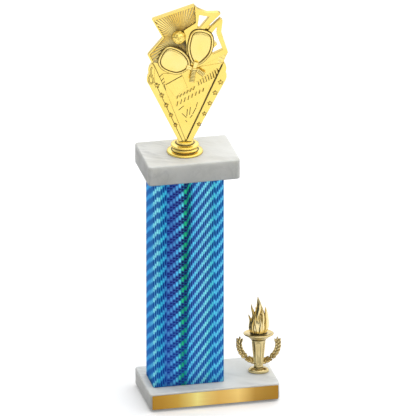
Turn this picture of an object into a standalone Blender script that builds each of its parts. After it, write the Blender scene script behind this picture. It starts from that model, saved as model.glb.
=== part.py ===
"""Column trophy: marble base and cap, foil-wrapped column, gold topper and torch ornament.

Units are metres, +Z is up and the trophy faces -Y. The origin is at the middle of the
footprint, on the surface that the trophy stands on. Every piece is a separate solid, and
pieces that touch keep GAP between them.
"""

import math

import bmesh
import bpy
from mathutils import Matrix, Vector

MM = 0.001
GAP = 0.3 * MM
ROUND_SIDES = 40
HOLE_SIDES = 28

# Felt pads under the base
PAD_RADIUS = 6 * MM
PAD_HEIGHT = 1.5 * MM
PAD_INSET = 11 * MM

# Marble base
BASE_WIDTH = 135 * MM
BASE_DEPTH = 73 * MM
BASE_HEIGHT = 18 * MM
MARBLE_CORNER = 3.5 * MM
MARBLE_EDGE = 1.5 * MM

# Engraving plate on the front of the base
PLATE_WIDTH = 132 * MM
PLATE_HEIGHT = 15 * MM
PLATE_THICKNESS = 0.8 * MM
ADHESIVE_THICKNESS = 0.25 * MM
ADHESIVE_MARGIN = 2 * MM

# Column, from the middle of the base
COLUMN_X = -23.8 * MM
COLUMN_Y = -2.8 * MM
COLUMN_WIDTH = 73.3 * MM
COLUMN_DEPTH = 36 * MM
COLUMN_HEIGHT = 228 * MM
COLUMN_CORNER = 1.8 * MM
WRAP_THICKNESS = 0.3 * MM
TUBE_WALL = 1.6 * MM
TUBE_BORE_CORNER = 0.4 * MM
SEAM_WIDTH = 0.6 * MM

# Marble cap, with its middle a little off the rod's axis
CAP_WIDTH = 94.9 * MM
CAP_DEPTH = 67 * MM
CAP_HEIGHT = 21.3 * MM
CAP_SHIFT_X = 2.8 * MM
CAP_SHIFT_Y = 0.8 * MM

# Quarter-inch tie rod and its hardware
ROD_RADIUS = 3.1 * MM
ROD_THREAD_PITCH = 1.27 * MM
ROD_THREAD_DEPTH = 0.5 * MM
ROD_THREAD_TURNS = 9
ROD_HOLE_RADIUS = 4 * MM
ROD_FOOT_CLEARANCE = 0.4 * MM
ROD_REACH_IN_TOPPER = 8.6 * MM
NUT_ACROSS_FLATS = 11.1 * MM
NUT_HEIGHT = 5.5 * MM
NUT_POCKET_ACROSS_FLATS = 11.7 * MM
WASHER_RADIUS = 9.5 * MM
WASHER_THICKNESS = 1.5 * MM
LOCK_WASHER_RADIUS = 5.6 * MM
LOCK_WASHER_SPLIT = math.radians(12)
BASE_COUNTERBORE_RADIUS = 14 * MM
BASE_COUNTERBORE_DEPTH = 10 * MM

# Topper: a round foot and a flat relief plaque, screwed on a little turned to the left
TOPPER_TURN = math.radians(-10)
FOOT_RADIUS = 18.4 * MM
FOOT_DISC_RADIUS = 14.4 * MM
FOOT_HEIGHT = 12 * MM
FOOT_NUT_FLOOR = 3.9 * MM
PLAQUE_FRONT = -4.5 * MM
PLAQUE_BACK = 1.5 * MM
RECESS_DEPTH = 2 * MM
TANG_WIDTH = 11 * MM
TANG_DEPTH = 1.5 * MM
BACK_COVER_THICKNESS = 2.4 * MM
PADDLE_RIM = 2.3 * MM
PADDLE_THICKNESS = 2.6 * MM
HANDLE_THICKNESS = 1.9 * MM
BALL_RADIUS = 6.9 * MM

# Torch ornament, from the middle of the base's top, turned a little like the topper
TORCH_X = 52.7 * MM
TORCH_Y = -3 * MM
TORCH_TURN = math.radians(-13)
TORCH_FLATTENING = 0.7
TORCH_FOOT_RADIUS = 10.5 * MM
CUP_RADIUS = 15.5 * MM
CUP_RIM_HEIGHT = 41.9 * MM
CUP_FLOOR_HEIGHT = 36.3 * MM
FLAME_BASE_HEIGHT = 42.9 * MM
FLAME_THICKNESS = 9 * MM
WREATH_RADIUS = 19.6 * MM
WREATH_HEIGHT = 30.6 * MM
WREATH_HALF_WIDTH = 3.4 * MM
WREATH_HALF_THICKNESS = 1.6 * MM
WREATH_TIP_ANGLE = math.radians(110)
WREATH_SET_BACK = 6 * MM
WREATH_DIP = 2.6 * MM
WREATH_BEND_START = math.radians(42)
WREATH_BEND_END = math.radians(17)
SCREW_RADIUS = 2 * MM
SCREW_HEAD_RADIUS = 4 * MM
SCREW_HEAD_HEIGHT = 2.6 * MM
SCREW_REACH = 11 * MM
SCREW_WASHER_RADIUS = 5 * MM
SCREW_WASHER_THICKNESS = 0.9 * MM
SCREW_COUNTERBORE_RADIUS = 6.5 * MM
SCREW_COUNTERBORE_DEPTH = 8 * MM

# Where things end up, with the footprint's middle at the origin
PLATE_PROUD = 2 * GAP + ADHESIVE_THICKNESS + PLATE_THICKNESS
CAP_LEFT = COLUMN_X + CAP_SHIFT_X - CAP_WIDTH / 2
WREATH_REACH = (WREATH_RADIUS + WREATH_HALF_WIDTH) * math.cos(TORCH_TURN)
BASE_X = -(CAP_LEFT + TORCH_X + WREATH_REACH) / 2
BASE_Y = PLATE_PROUD / 2
BASE_BOTTOM = PAD_HEIGHT + GAP
BASE_TOP = BASE_BOTTOM + BASE_HEIGHT
COLUMN_BOTTOM = BASE_TOP + GAP
CAP_BOTTOM = COLUMN_BOTTOM + COLUMN_HEIGHT + GAP
CAP_TOP = CAP_BOTTOM + CAP_HEIGHT
TOPPER_BOTTOM = CAP_TOP + GAP

# Outlines on the plaque, as (across, up) in millimetres from the foot's underside
PLAQUE_BOTTOM = ((6.5, 12.3), (-6.2, 12.3))
PLAQUE_OUTLINE = [
    (8.8, 161.2), (12.3, 157.0), (22, 152.6), (33.5, 152.9), (36, 151.0), (24, 138.8), (25.5, 136.8),
    (35.3, 146.2), (38, 143.6), (36.6, 131), (43.4, 108.7), (39.1, 98.5), (41.1, 95.5), (41.9, 92),
    (41.0, 88), (41.9, 85.5), (42.0, 82), (41.1, 79.2), *PLAQUE_BOTTOM, (-36.8, 75.6),
    (-38.6, 79), (-38.6, 83), (-36.8, 87.8), (-37.4, 91.5), (-36.0, 95.5), (-33.5, 98.8),
    (-37.9, 107.6), (-22.7, 126.2), (-33.4, 146.2),
]
STAR_WINDOW = [(14.4, 150.3), (24.2, 148.2), (13.8, 135.2), (12.5, 136.4)]
FRAME_WINDOW = [
    (32.1, 137.2), (31.7, 129.6), (37.9, 112.2), (28.3, 107.6), (25.9, 111.5),
    (32.5, 117.8), (28.3, 122.4), (26.1, 128.8),
]
BURST_RECESS = [
    (-31, 145.2), (8.3, 158.4), (11, 142), (0.6, 134), (2.2, 118), (1.5, 109), (-25.5, 99.5),
    (-32, 100.5), (-35.6, 107.6), (-20.5, 126.5),
]
SHIELD_RECESS = [(-31, 95), (-18.6, 65.8), (0.3, 20), (2, 20), (37.5, 95.5), (12, 90.5)]
BACK_COVER_OUTLINE = [
    (5, 14.5), (38.8, 80), (37.5, 98), (24, 105), (23.5, 130), (10, 137), (7.5, 158.4),
    (-30.8, 144.4), (-20.2, 126.2), (-35.4, 107.8), (-31, 98), (-34.8, 77), (-5, 14.5),
]
LEFT_FACE = [
    (-20.6, 111.4), (-14.6, 114.8), (-5, 110.6), (1, 104), (2.8, 96.8), (-0.8, 92), (-9.5, 89.2),
    (-20.8, 93.6), (-24.8, 101),
]
LEFT_HANDLE = ((-4, 97.5), (19.3, 85.4))
RIGHT_FACE = [
    (9.4, 131.2), (17, 132.2), (24.8, 128.4), (26.2, 119.4), (23.2, 108.8), (13.8, 99.2), (8.4, 102),
    (5.1, 113.4), (6.4, 124.2),
]
RIGHT_HANDLE = ((12, 108), (6.2, 78.5))
HANDLE_WIDTH = 4.6
BALL_CENTRE = (-6.4, 127)

# Outline of the flame, as (across, up) in millimetres from the torch's foot
FLAME_OUTLINE = [
    (-0.6, 82.7), (2.3, 77.5), (4.8, 70.8), (5.3, 69.3), (7.1, 71.2), (8.9, 66.6), (9.6, 58),
    (10.4, 52.5), (9.9, 48.5), (8, 43.2), (-8, 43.2), (-10.1, 49.5), (-10.2, 53.5), (-9.6, 57.4),
    (-10.6, 62.7), (-8, 62.2), (-8.4, 67.5), (-7.1, 74.3), (-5.1, 69.7), (-2.8, 73.6), (-1.3, 77.7),
]


def clear_scene():
    for obj in list(bpy.data.objects):
        bpy.data.objects.remove(obj, do_unlink=True)


def finish(name, colour, roughness, metallic):
    material = bpy.data.materials.new(name)
    material.use_nodes = True
    shader = material.node_tree.nodes["Principled BSDF"]
    shader.inputs["Base Color"].default_value = (*colour, 1)
    shader.inputs["Roughness"].default_value = roughness
    shader.inputs["Metallic"].default_value = metallic
    return material


def frame(name, location, parent=None, turn=0.0):
    """An empty that a group of pieces hangs from."""
    empty = bpy.data.objects.new(name, None)
    bpy.context.scene.collection.objects.link(empty)
    empty.location = location
    empty.rotation_euler.z = turn
    empty.parent = parent
    return empty


def add(name, bm, material, parent, location=(0, 0, 0), smooth=35):
    """A named object from a bmesh, smooth except at edges sharper than the angle in degrees."""
    bmesh.ops.recalc_face_normals(bm, faces=bm.faces)
    mesh = bpy.data.meshes.new(name)
    bm.to_mesh(mesh)
    bm.free()
    mesh.shade_smooth()
    mesh.set_sharp_from_angle(angle=math.radians(smooth))
    mesh.materials.append(material)
    obj = bpy.data.objects.new(name, mesh)
    bpy.context.scene.collection.objects.link(obj)
    obj.location = location
    obj.parent = parent
    return obj


def bevel(obj, width, segments=2):
    modifier = obj.modifiers.new("bevel", "BEVEL")
    modifier.width = width
    modifier.segments = segments
    modifier.limit_method = "ANGLE"
    modifier.angle_limit = math.radians(40)


def combine(obj, name, bm, operation):
    """Cuts the shape out of the object, or joins it on, and leaves the shape as a hidden guide."""
    tool = add(name, bm, obj.data.materials[0], obj.parent, obj.location)
    tool.hide_render = True
    tool.display_type = "WIRE"
    modifier = obj.modifiers.new(name, "BOOLEAN")
    modifier.operation = operation
    modifier.object = tool
    modifier.solver = "EXACT"


def slab(width, depth, height):
    """A stone slab on Z = 0 with rounded upright corners."""
    bm = bmesh.new()
    outline = rounded_rectangle(width, depth, MARBLE_CORNER)
    bottom = [bm.verts.new((point.x, point.y, 0)) for point in outline]
    top = [bm.verts.new((point.x, point.y, height)) for point in outline]
    bm.faces.new(bottom)
    bm.faces.new(top)
    for index in range(len(outline)):
        bm.faces.new([bottom[index - 1], bottom[index], top[index], top[index - 1]])
    return bm


def block(width, depth, height):
    """A box centred in X and Y, standing on Z = 0."""
    bm = bmesh.new()
    bmesh.ops.create_cube(bm, size=1)
    bmesh.ops.translate(bm, vec=(0, 0, 0.5), verts=bm.verts)
    bmesh.ops.scale(bm, vec=(width, depth, height), verts=bm.verts)
    return bm


def prism(radius, bottom, top, sides=HOLE_SIDES, centre=(0, 0)):
    """An upright prism or cylinder between two heights; radius reaches its corners."""
    bm = bmesh.new()
    middle = Matrix.Translation((*centre, (bottom + top) / 2))
    bmesh.ops.create_cone(
        bm, cap_ends=True, segments=sides, radius1=radius, radius2=radius,
        depth=top - bottom, matrix=middle,
    )
    return bm


def turned(profile, sides=ROUND_SIDES, start=0.0, sweep=2 * math.pi, flattening=1.0):
    """A body of revolution about Z from a loop of (radius, height) points, none or two on the axis."""
    bm = bmesh.new()
    whole = math.isclose(sweep, 2 * math.pi)
    rings = []
    for radius, height in profile:
        if radius == 0:
            rings.append([bm.verts.new((0, 0, height))] * (sides + 1))
            continue
        ring = []
        for step in range(sides if whole else sides + 1):
            angle = start + sweep * step / sides
            x, y = radius * math.cos(angle), radius * math.sin(angle)
            ring.append(bm.verts.new((x, y * flattening, height)))
        if whole:
            ring.append(ring[0])
        rings.append(ring)
    for index, ring in enumerate(rings):
        following = rings[(index + 1) % len(rings)]
        for step in range(sides):
            corners = [ring[step], ring[step + 1], following[step + 1], following[step]]
            corners = list(dict.fromkeys(corners))
            if len(corners) > 2:
                bm.faces.new(corners)
    if not whole:
        bm.faces.new([ring[0] for ring in rings])
        bm.faces.new([ring[-1] for ring in reversed(rings)])
    return bm


def plate(outline, front, back, unit=MM):
    """A flat plate that stands in the XZ plane, with an outline of (x, z) points."""
    bm = bmesh.new()
    near = [bm.verts.new((x * unit, front, z * unit)) for x, z in outline]
    far = [bm.verts.new((x * unit, back, z * unit)) for x, z in outline]
    bm.faces.new(near)
    bm.faces.new(list(reversed(far)))
    for index in range(len(outline)):
        after = (index + 1) % len(outline)
        bm.faces.new([near[index], far[index], far[after], near[after]])
    return bm


def smooth_loop(points, steps=4):
    """A closed Catmull-Rom curve through the points."""
    loop = []
    count = len(points)
    for index in range(count):
        before, here, after, beyond = (Vector(points[(index + k) % count]) for k in (-1, 0, 1, 2))
        for step in range(steps):
            t = step / steps
            bend = 2 * before - 5 * here + 4 * after - beyond
            twist = 3 * here - before - 3 * after + beyond
            loop.append((2 * here + (after - before) * t + bend * t**2 + twist * t**3) / 2)
    return loop


def offset_loop(points, distance):
    """The closed curve moved outwards; its points run clockwise."""
    moved = []
    for index, point in enumerate(points):
        along = points[(index + 1) % len(points)] - points[index - 1]
        moved.append(point + Vector((-along.y, along.x)).normalized() * distance)
    return moved


def rounded_rectangle(width, depth, radius, steps=4):
    """Counter-clockwise corners of a rectangle with rounded corners, from the middle of its back."""
    points = []
    for quarter in range(4):
        side_x = -1 if quarter in (0, 1) else 1
        side_y = 1 if quarter in (0, 3) else -1
        centre = Vector((side_x * (width / 2 - radius), side_y * (depth / 2 - radius)))
        for step in range(steps + 1):
            angle = math.pi / 2 * (1 + quarter + step / steps)
            points.append(centre + radius * Vector((math.cos(angle), math.sin(angle))))
    return points


def skin(outer, inner, height, closed=True):
    """An upright wall between two outlines with the same number of points."""
    bm = bmesh.new()
    columns = []
    for wide, narrow in zip(outer, inner):
        places = ((wide, 0), (wide, height), (narrow, height), (narrow, 0))
        columns.append([bm.verts.new((point.x, point.y, z)) for point, z in places])
    for index in range(len(columns) if closed else len(columns) - 1):
        here, after = columns[index], columns[(index + 1) % len(columns)]
        for corner in range(4):
            beyond = (corner + 1) % 4
            bm.faces.new([here[corner], after[corner], after[beyond], here[beyond]])
    if not closed:
        bm.faces.new(columns[0])
        bm.faces.new(list(reversed(columns[-1])))
    return bm


def hexagon_radius(across_flats):
    return across_flats / math.sqrt(3)


def ring_profile(inner, outer, bottom, top):
    return [(outer, bottom), (outer, top), (inner, top), (inner, bottom)]


def make_pads(base, felt):
    places = {
        "foot_pad_front_left": (-1, -1),
        "foot_pad_front_right": (1, -1),
        "foot_pad_rear_left": (-1, 1),
        "foot_pad_rear_right": (1, 1),
    }
    for name, (side_x, side_y) in places.items():
        x = side_x * (BASE_WIDTH / 2 - PAD_INSET)
        y = side_y * (BASE_DEPTH / 2 - PAD_INSET)
        add(name, prism(PAD_RADIUS, 0, PAD_HEIGHT), felt, base, (x, y, 0))


def make_base(base, marble):
    stone = slab(BASE_WIDTH, BASE_DEPTH, BASE_HEIGHT)
    body = add("marble_base", stone, marble, base, (0, 0, BASE_BOTTOM))
    bevel(body, MARBLE_EDGE, 3)
    rod, screw = (COLUMN_X, COLUMN_Y), (TORCH_X, TORCH_Y)
    holes = (
        ("rod_hole", ROD_HOLE_RADIUS, 2 * BASE_HEIGHT, rod),
        ("rod_counterbore", BASE_COUNTERBORE_RADIUS, BASE_COUNTERBORE_DEPTH, rod),
        ("screw_hole", SCREW_RADIUS + 2 * GAP, 2 * BASE_HEIGHT, screw),
        ("screw_counterbore", SCREW_COUNTERBORE_RADIUS, SCREW_COUNTERBORE_DEPTH, screw),
    )
    for name, radius, depth, centre in holes:
        combine(body, name, prism(radius, -BASE_HEIGHT, depth, centre=centre), "DIFFERENCE")


def make_nameplate(base, brass, glue):
    middle = BASE_BOTTOM + BASE_HEIGHT / 2
    adhesive_back = -BASE_DEPTH / 2 - GAP
    plate_back = adhesive_back - ADHESIVE_THICKNESS - GAP
    sheets = (
        ("nameplate_adhesive", glue, ADHESIVE_MARGIN, ADHESIVE_THICKNESS, adhesive_back),
        ("nameplate", brass, 0, PLATE_THICKNESS, plate_back),
    )
    for name, material, margin, thickness, back in sheets:
        height = PLATE_HEIGHT - 2 * margin
        bm = block(PLATE_WIDTH - 2 * margin, thickness, height)
        add(name, bm, material, base, (0, back - thickness / 2, middle - height / 2))


def make_column(column, plastic, foil):
    width, depth = COLUMN_WIDTH, COLUMN_DEPTH
    rings = [
        rounded_rectangle(width - 2 * inset, depth - 2 * inset, COLUMN_CORNER - inset)
        for inset in (0, WRAP_THICKNESS, WRAP_THICKNESS + GAP)
    ]
    bore_inset = WRAP_THICKNESS + GAP + TUBE_WALL
    bore = rounded_rectangle(width - 2 * bore_inset, depth - 2 * bore_inset, TUBE_BORE_CORNER)
    open_rings = []
    for ring in rings[:2]:
        back = ring[0].y
        start, end = Vector((-SEAM_WIDTH / 2, back)), Vector((SEAM_WIDTH / 2, back))
        open_rings.append([start, *ring, end])
    add("column_wrap", skin(*open_rings, COLUMN_HEIGHT, closed=False), foil, column)
    add("column_tube", skin(rings[2], bore, COLUMN_HEIGHT), plastic, column)


def make_cap(column, marble):
    stone = slab(CAP_WIDTH, CAP_DEPTH, CAP_HEIGHT)
    middle = (CAP_SHIFT_X, CAP_SHIFT_Y, CAP_BOTTOM - COLUMN_BOTTOM)
    body = add("marble_cap", stone, marble, column, middle)
    bevel(body, MARBLE_EDGE, 3)
    axis = (-CAP_SHIFT_X, -CAP_SHIFT_Y)
    hole = prism(ROD_HOLE_RADIUS, -CAP_HEIGHT, 2 * CAP_HEIGHT, centre=axis)
    combine(body, "cap_hole", hole, "DIFFERENCE")


def threaded_rod(bottom, top):
    """Profile of a rod with grooved thread at both ends."""
    core = ROD_RADIUS - ROD_THREAD_DEPTH
    pitch = ROD_THREAD_PITCH
    lower = [(0, bottom), (core, bottom)]
    upper = []
    for turn in range(ROD_THREAD_TURNS):
        lower += [(ROD_RADIUS, bottom + (turn + 0.5) * pitch), (core, bottom + (turn + 1) * pitch)]
        upper += [(ROD_RADIUS, top - (turn + 0.5) * pitch), (core, top - (turn + 1) * pitch)]
    shank = [(ROD_RADIUS, lower[-1][1] + pitch / 2), (ROD_RADIUS, upper[-1][1] - pitch / 2)]
    return lower + shank + list(reversed(upper)) + [(core, top), (0, top)]


def make_rod(trophy, steel):
    ceiling = BASE_BOTTOM + BASE_COUNTERBORE_DEPTH
    washer_bottom = ceiling - GAP - WASHER_THICKNESS
    split_bottom = washer_bottom - GAP - WASHER_THICKNESS
    nut_bottom = split_bottom - GAP - NUT_HEIGHT
    rod_top = TOPPER_BOTTOM + ROD_REACH_IN_TOPPER
    bore = ROD_RADIUS + GAP
    add("tie_rod", turned(threaded_rod(nut_bottom - ROD_FOOT_CLEARANCE, rod_top), 16), steel, trophy)
    washer = ring_profile(bore, WASHER_RADIUS, 0, WASHER_THICKNESS)
    add("rod_washer", turned(washer, 32), steel, trophy, (0, 0, washer_bottom))
    split = ring_profile(bore, LOCK_WASHER_RADIUS, 0, WASHER_THICKNESS)
    sweep = 2 * math.pi - LOCK_WASHER_SPLIT
    add("rod_lock_washer", turned(split, 28, sweep=sweep), steel, trophy, (0, 0, split_bottom))
    hexagon = prism(hexagon_radius(NUT_ACROSS_FLATS), 0, NUT_HEIGHT, sides=6)
    nut = add("rod_nut", hexagon, steel, trophy, (0, 0, nut_bottom))
    combine(nut, "rod_nut_bore", prism(bore, -NUT_HEIGHT, 2 * NUT_HEIGHT), "DIFFERENCE")


def foot_profile():
    """Two dished discs, one on the other, hollow underneath, in millimetres."""
    rim, disc = FOOT_RADIUS / MM, FOOT_DISC_RADIUS / MM
    outside = [
        (rim - 0.1, 0), (rim, 0.9), (rim - 0.6, 1.8), (rim - 2.9, 2.6), (rim - 5.6, 3.4),
        (rim - 7, 4.4), (rim - 7.3, 5.4), (disc - 2.2, 6.2), (disc - 0.4, 6.9), (disc, 7.8),
        (disc - 0.5, 8.6), (disc - 2.4, 9.2), (disc - 4.8, 9.8), (8.8, 10.6), (8.6, 12),
    ]
    hollow = [(0, 3.5), (9.6, 3.5), (11.6, 2.5), (14.5, 1.7), (16.6, 0.9), (16.8, 0)]
    return [(radius * MM, height * MM) for radius, height in [*hollow, *outside, (0, 12)]]


def make_topper_foot(topper, gold, steel):
    foot = add("topper_foot", turned(foot_profile()), gold, topper)
    pocket_top = FOOT_NUT_FLOOR + NUT_HEIGHT + GAP
    pocket = prism(hexagon_radius(NUT_POCKET_ACROSS_FLATS), 0, pocket_top, sides=6)
    combine(foot, "nut_pocket", pocket, "DIFFERENCE")
    slot = block(TANG_WIDTH + 2 * GAP, PLAQUE_BACK - PLAQUE_FRONT + 2 * GAP, FOOT_HEIGHT)
    middle = (0, (PLAQUE_FRONT + PLAQUE_BACK) / 2, FOOT_HEIGHT - TANG_DEPTH)
    bmesh.ops.translate(slot, vec=middle, verts=slot.verts)
    combine(foot, "tang_slot", slot, "DIFFERENCE")
    hexagon = prism(hexagon_radius(NUT_ACROSS_FLATS), 0, NUT_HEIGHT, sides=6)
    nut = add("topper_foot_nut", hexagon, steel, topper, (0, 0, FOOT_NUT_FLOOR))
    combine(nut, "foot_nut_bore", prism(ROD_RADIUS + GAP, -NUT_HEIGHT, 2 * NUT_HEIGHT), "DIFFERENCE")


def make_plaque(topper, gold):
    right, left = PLAQUE_BOTTOM
    tang_bottom = (FOOT_HEIGHT + GAP - TANG_DEPTH) / MM
    half = TANG_WIDTH / MM / 2
    tang = [(half, right[1]), (half, tang_bottom), (-half, tang_bottom), (-half, left[1])]
    corner = PLAQUE_OUTLINE.index(right) + 1
    outline = PLAQUE_OUTLINE[:corner] + tang + PLAQUE_OUTLINE[corner:]
    plaque = add("topper_plaque", plate(outline, PLAQUE_FRONT, PLAQUE_BACK), gold, topper)
    proud = 5 * MM
    windows = (("star_window", STAR_WINDOW), ("frame_window", FRAME_WINDOW))
    for name, points in windows:
        combine(plaque, name, plate(points, PLAQUE_FRONT - proud, PLAQUE_BACK + proud), "DIFFERENCE")
    recesses = (("burst_recess", BURST_RECESS), ("shield_recess", SHIELD_RECESS))
    for name, points in recesses:
        tool = plate(points, PLAQUE_FRONT - proud, PLAQUE_FRONT + RECESS_DEPTH)
        combine(plaque, name, tool, "DIFFERENCE")
    back = PLAQUE_BACK + GAP
    cover = plate(BACK_COVER_OUTLINE, back, back + BACK_COVER_THICKNESS)
    bevel(add("topper_back_cover", cover, gold, topper), 0.6 * MM, 1)


def handle_outline(ends, width):
    """A straight bar of the given width between two points."""
    start, end = Vector(ends[0]), Vector(ends[1])
    along = (end - start).normalized()
    across = Vector((-along.y, along.x)) * width / 2
    return [start + across, end + across, end - across, start - across]


def make_paddles(topper, gold):
    lying = PLAQUE_FRONT - GAP
    crossing = lying - HANDLE_THICKNESS - GAP
    paddles = (
        ("topper_paddle_left", LEFT_FACE, LEFT_HANDLE, lying, lying - HANDLE_THICKNESS),
        ("topper_paddle_right", RIGHT_FACE, RIGHT_HANDLE, crossing, crossing - HANDLE_THICKNESS),
    )
    for name, face, handle, handle_back, handle_front in paddles:
        rim = offset_loop(smooth_loop(face), PADDLE_RIM / MM)
        blade_front = min(lying - PADDLE_THICKNESS, handle_front)
        blade = add(name, plate(rim, blade_front, lying), gold, topper)
        bar = plate(handle_outline(handle, HANDLE_WIDTH), handle_front, handle_back)
        combine(blade, name + "_handle", bar, "UNION")


def make_ball(topper, gold):
    """Three quarters of a ball that stands out of the plaque's recess."""
    across, up = BALL_CENTRE
    steps = 9
    sunk = math.radians(25)
    profile = [(0, -BALL_RADIUS * math.sin(sunk))]
    for step in range(steps):
        angle = -sunk + (math.pi / 2 + sunk) * step / steps
        profile.append((BALL_RADIUS * math.cos(angle), BALL_RADIUS * math.sin(angle)))
    profile.append((0, BALL_RADIUS))
    flat_back = PLAQUE_FRONT + RECESS_DEPTH - GAP
    centre = flat_back - BALL_RADIUS * math.sin(sunk)
    ball = add("topper_ball", turned(profile, 28), gold, topper, (across * MM, centre, up * MM))
    ball.rotation_euler.x = math.pi / 2


def make_torch_stand(torch, gold):
    """Domed foot and tapering stem, drilled from below for the screw."""
    foot = TORCH_FOOT_RADIUS / MM
    outline = [
        (foot - 0.2, 0), (foot, 1), (foot - 0.5, 2.2), (foot - 1.9, 3.1), (foot - 4.3, 3.6),
        (4, 4.2), (3.9, 4.9), (4.6, 5.6), (4.5, 6.6), (7.1, 32.6), (7.6, 34), (7.4, 35.7),
    ]
    profile = [(radius * MM, height * MM) for radius, height in [(0, 0), *outline, (0, 35.7)]]
    stand = add("torch_stand", turned(profile, 32, flattening=TORCH_FLATTENING), gold, torch)
    hole = prism(SCREW_RADIUS + GAP, -TORCH_FOOT_RADIUS, SCREW_REACH + GAP, sides=20)
    combine(stand, "stand_screw_hole", hole, "DIFFERENCE")


def make_torch_cup(torch, gold):
    """Saucer with a rolled rim and a socket for the flame."""
    rim, floor = CUP_RADIUS / MM, CUP_FLOOR_HEIGHT / MM
    lip = CUP_RIM_HEIGHT / MM
    outline = [
        (7.8, floor - 0.3), (9.6, floor + 0.9), (11.6, lip - 2.8), (12.4, lip - 2.2),
        (14.4, lip - 1.2), (rim, lip - 0.2), (rim - 0.1, lip + 0.3), (rim - 1.2, lip + 0.9),
        (rim - 3.4, lip + 0.6), (9.2, lip + 0.2), (8.6, lip + 0.5), (5, lip + 0.5), (5, lip - 3),
    ]
    loop = [(0, floor - 0.3), *outline, (0, lip - 3)]
    profile = [(radius * MM, height * MM) for radius, height in loop]
    add("torch_cup", turned(profile, 36, flattening=TORCH_FLATTENING), gold, torch)


def make_flame(torch, gold):
    flame = plate(FLAME_OUTLINE, -FLAME_THICKNESS / 2, FLAME_THICKNESS / 2)
    body = add("torch_flame", flame, gold, torch)
    bevel(body, 0.5 * MM, 1)
    peg = prism(3 * MM, CUP_RIM_HEIGHT - 2.6 * MM, FLAME_BASE_HEIGHT + 4 * MM, sides=20)
    combine(body, "flame_peg", peg, "UNION")


def make_wreath(torch, gold):
    """Two laurel branches in one strip that passes behind the stem."""
    stations = 36
    bm = bmesh.new()
    rings = []
    for station in range(stations + 1):
        angle = WREATH_TIP_ANGLE * (2 * station / stations - 1)
        reach = abs(angle) / WREATH_TIP_ANGLE
        swell = min(1, 0.25 + 9 * (1 - reach)) * (0.75 + 0.25 * min(1, 4 * reach))
        behind = (WREATH_BEND_START - abs(angle)) / (WREATH_BEND_START - WREATH_BEND_END)
        behind = max(0, min(1, behind))
        behind = behind**2 * (3 - 2 * behind)
        ring = []
        for corner in range(8):
            turn = math.tau * (corner + 0.5) / 8
            spread = WREATH_HALF_WIDTH / math.cos(math.pi / 8)
            radius = WREATH_RADIUS + spread * swell * math.cos(turn)
            y = WREATH_SET_BACK * behind + WREATH_HALF_THICKNESS * math.sin(turn)
            z = WREATH_HEIGHT - WREATH_DIP * behind - radius * math.cos(angle)
            ring.append(bm.verts.new((radius * math.sin(angle), y, z)))
        rings.append(ring)
    for near, far in zip(rings, rings[1:]):
        for corner in range(8):
            beyond = (corner + 1) % 8
            bm.faces.new([near[corner], near[beyond], far[beyond], far[corner]])
    bm.faces.new(rings[0])
    bm.faces.new(list(reversed(rings[-1])))
    add("torch_wreath", bm, gold, torch)


def make_torch_screw(torch, steel):
    """Pan-head screw and washer in the counterbore, with heights from the base's top."""
    ceiling = SCREW_COUNTERBORE_DEPTH - BASE_HEIGHT
    washer_bottom = ceiling - GAP - SCREW_WASHER_THICKNESS
    head_top = washer_bottom - GAP
    washer = ring_profile(SCREW_RADIUS + GAP, SCREW_WASHER_RADIUS, 0, SCREW_WASHER_THICKNESS)
    add("torch_washer", turned(washer, 28), steel, torch, (0, 0, washer_bottom))
    profile = [
        (0, head_top - SCREW_HEAD_HEIGHT),
        (SCREW_HEAD_RADIUS * 0.7, head_top - SCREW_HEAD_HEIGHT),
        (SCREW_HEAD_RADIUS, head_top - SCREW_HEAD_HEIGHT * 0.55),
        (SCREW_HEAD_RADIUS, head_top),
        (SCREW_RADIUS, head_top),
        (SCREW_RADIUS, SCREW_REACH - SCREW_RADIUS),
        (SCREW_RADIUS / 2, SCREW_REACH),
        (0, SCREW_REACH),
    ]
    screw = add("torch_screw", turned(profile, 24), steel, torch)
    slot = block(2 * SCREW_HEAD_RADIUS + MM, MM, MM)
    slot_floor = head_top - SCREW_HEAD_HEIGHT
    bmesh.ops.translate(slot, vec=(0, 0, slot_floor - 0.2 * MM), verts=slot.verts)
    combine(screw, "screw_slot", slot, "DIFFERENCE")


def build():
    clear_scene()
    marble = finish("polished_white_marble", (0.74, 0.75, 0.72), 0.25, 0)
    felt = finish("dark_felt", (0.03, 0.04, 0.03), 0.95, 0)
    brass = finish("brushed_gold_plate", (0.78, 0.55, 0.2), 0.3, 1)
    glue = finish("clear_adhesive", (0.85, 0.85, 0.8), 0.5, 0)
    plastic = finish("white_plastic", (0.8, 0.8, 0.8), 0.5, 0)
    foil = finish("blue_weave_foil", (0.05, 0.25, 0.6), 0.25, 0.6)
    steel = finish("zinc_plated_steel", (0.6, 0.6, 0.62), 0.35, 1)
    topper_gold = finish("bright_gold", (0.95, 0.72, 0.18), 0.15, 1)
    torch_gold = finish("pale_gold", (0.72, 0.56, 0.26), 0.2, 1)

    trophy = frame("trophy", (BASE_X, BASE_Y, 0))
    make_pads(trophy, felt)
    make_base(trophy, marble)
    make_nameplate(trophy, brass, glue)

    column = frame("column", (COLUMN_X, COLUMN_Y, COLUMN_BOTTOM), trophy)
    make_column(column, plastic, foil)
    make_cap(column, marble)
    rod_axis = frame("rod_axis", (COLUMN_X, COLUMN_Y, 0), trophy)
    make_rod(rod_axis, steel)

    topper = frame("topper", (COLUMN_X, COLUMN_Y, TOPPER_BOTTOM), trophy, TOPPER_TURN)
    make_topper_foot(topper, topper_gold, steel)
    make_plaque(topper, topper_gold)
    make_paddles(topper, topper_gold)
    make_ball(topper, topper_gold)

    torch = frame("torch", (TORCH_X, TORCH_Y, BASE_TOP), trophy, TORCH_TURN)
    torch_on_base = frame("torch_on_base", (0, 0, GAP), torch)
    make_torch_stand(torch_on_base, torch_gold)
    make_torch_cup(torch_on_base, torch_gold)
    make_flame(torch_on_base, torch_gold)
    make_wreath(torch_on_base, torch_gold)
    make_torch_screw(torch, steel)


build()
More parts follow.
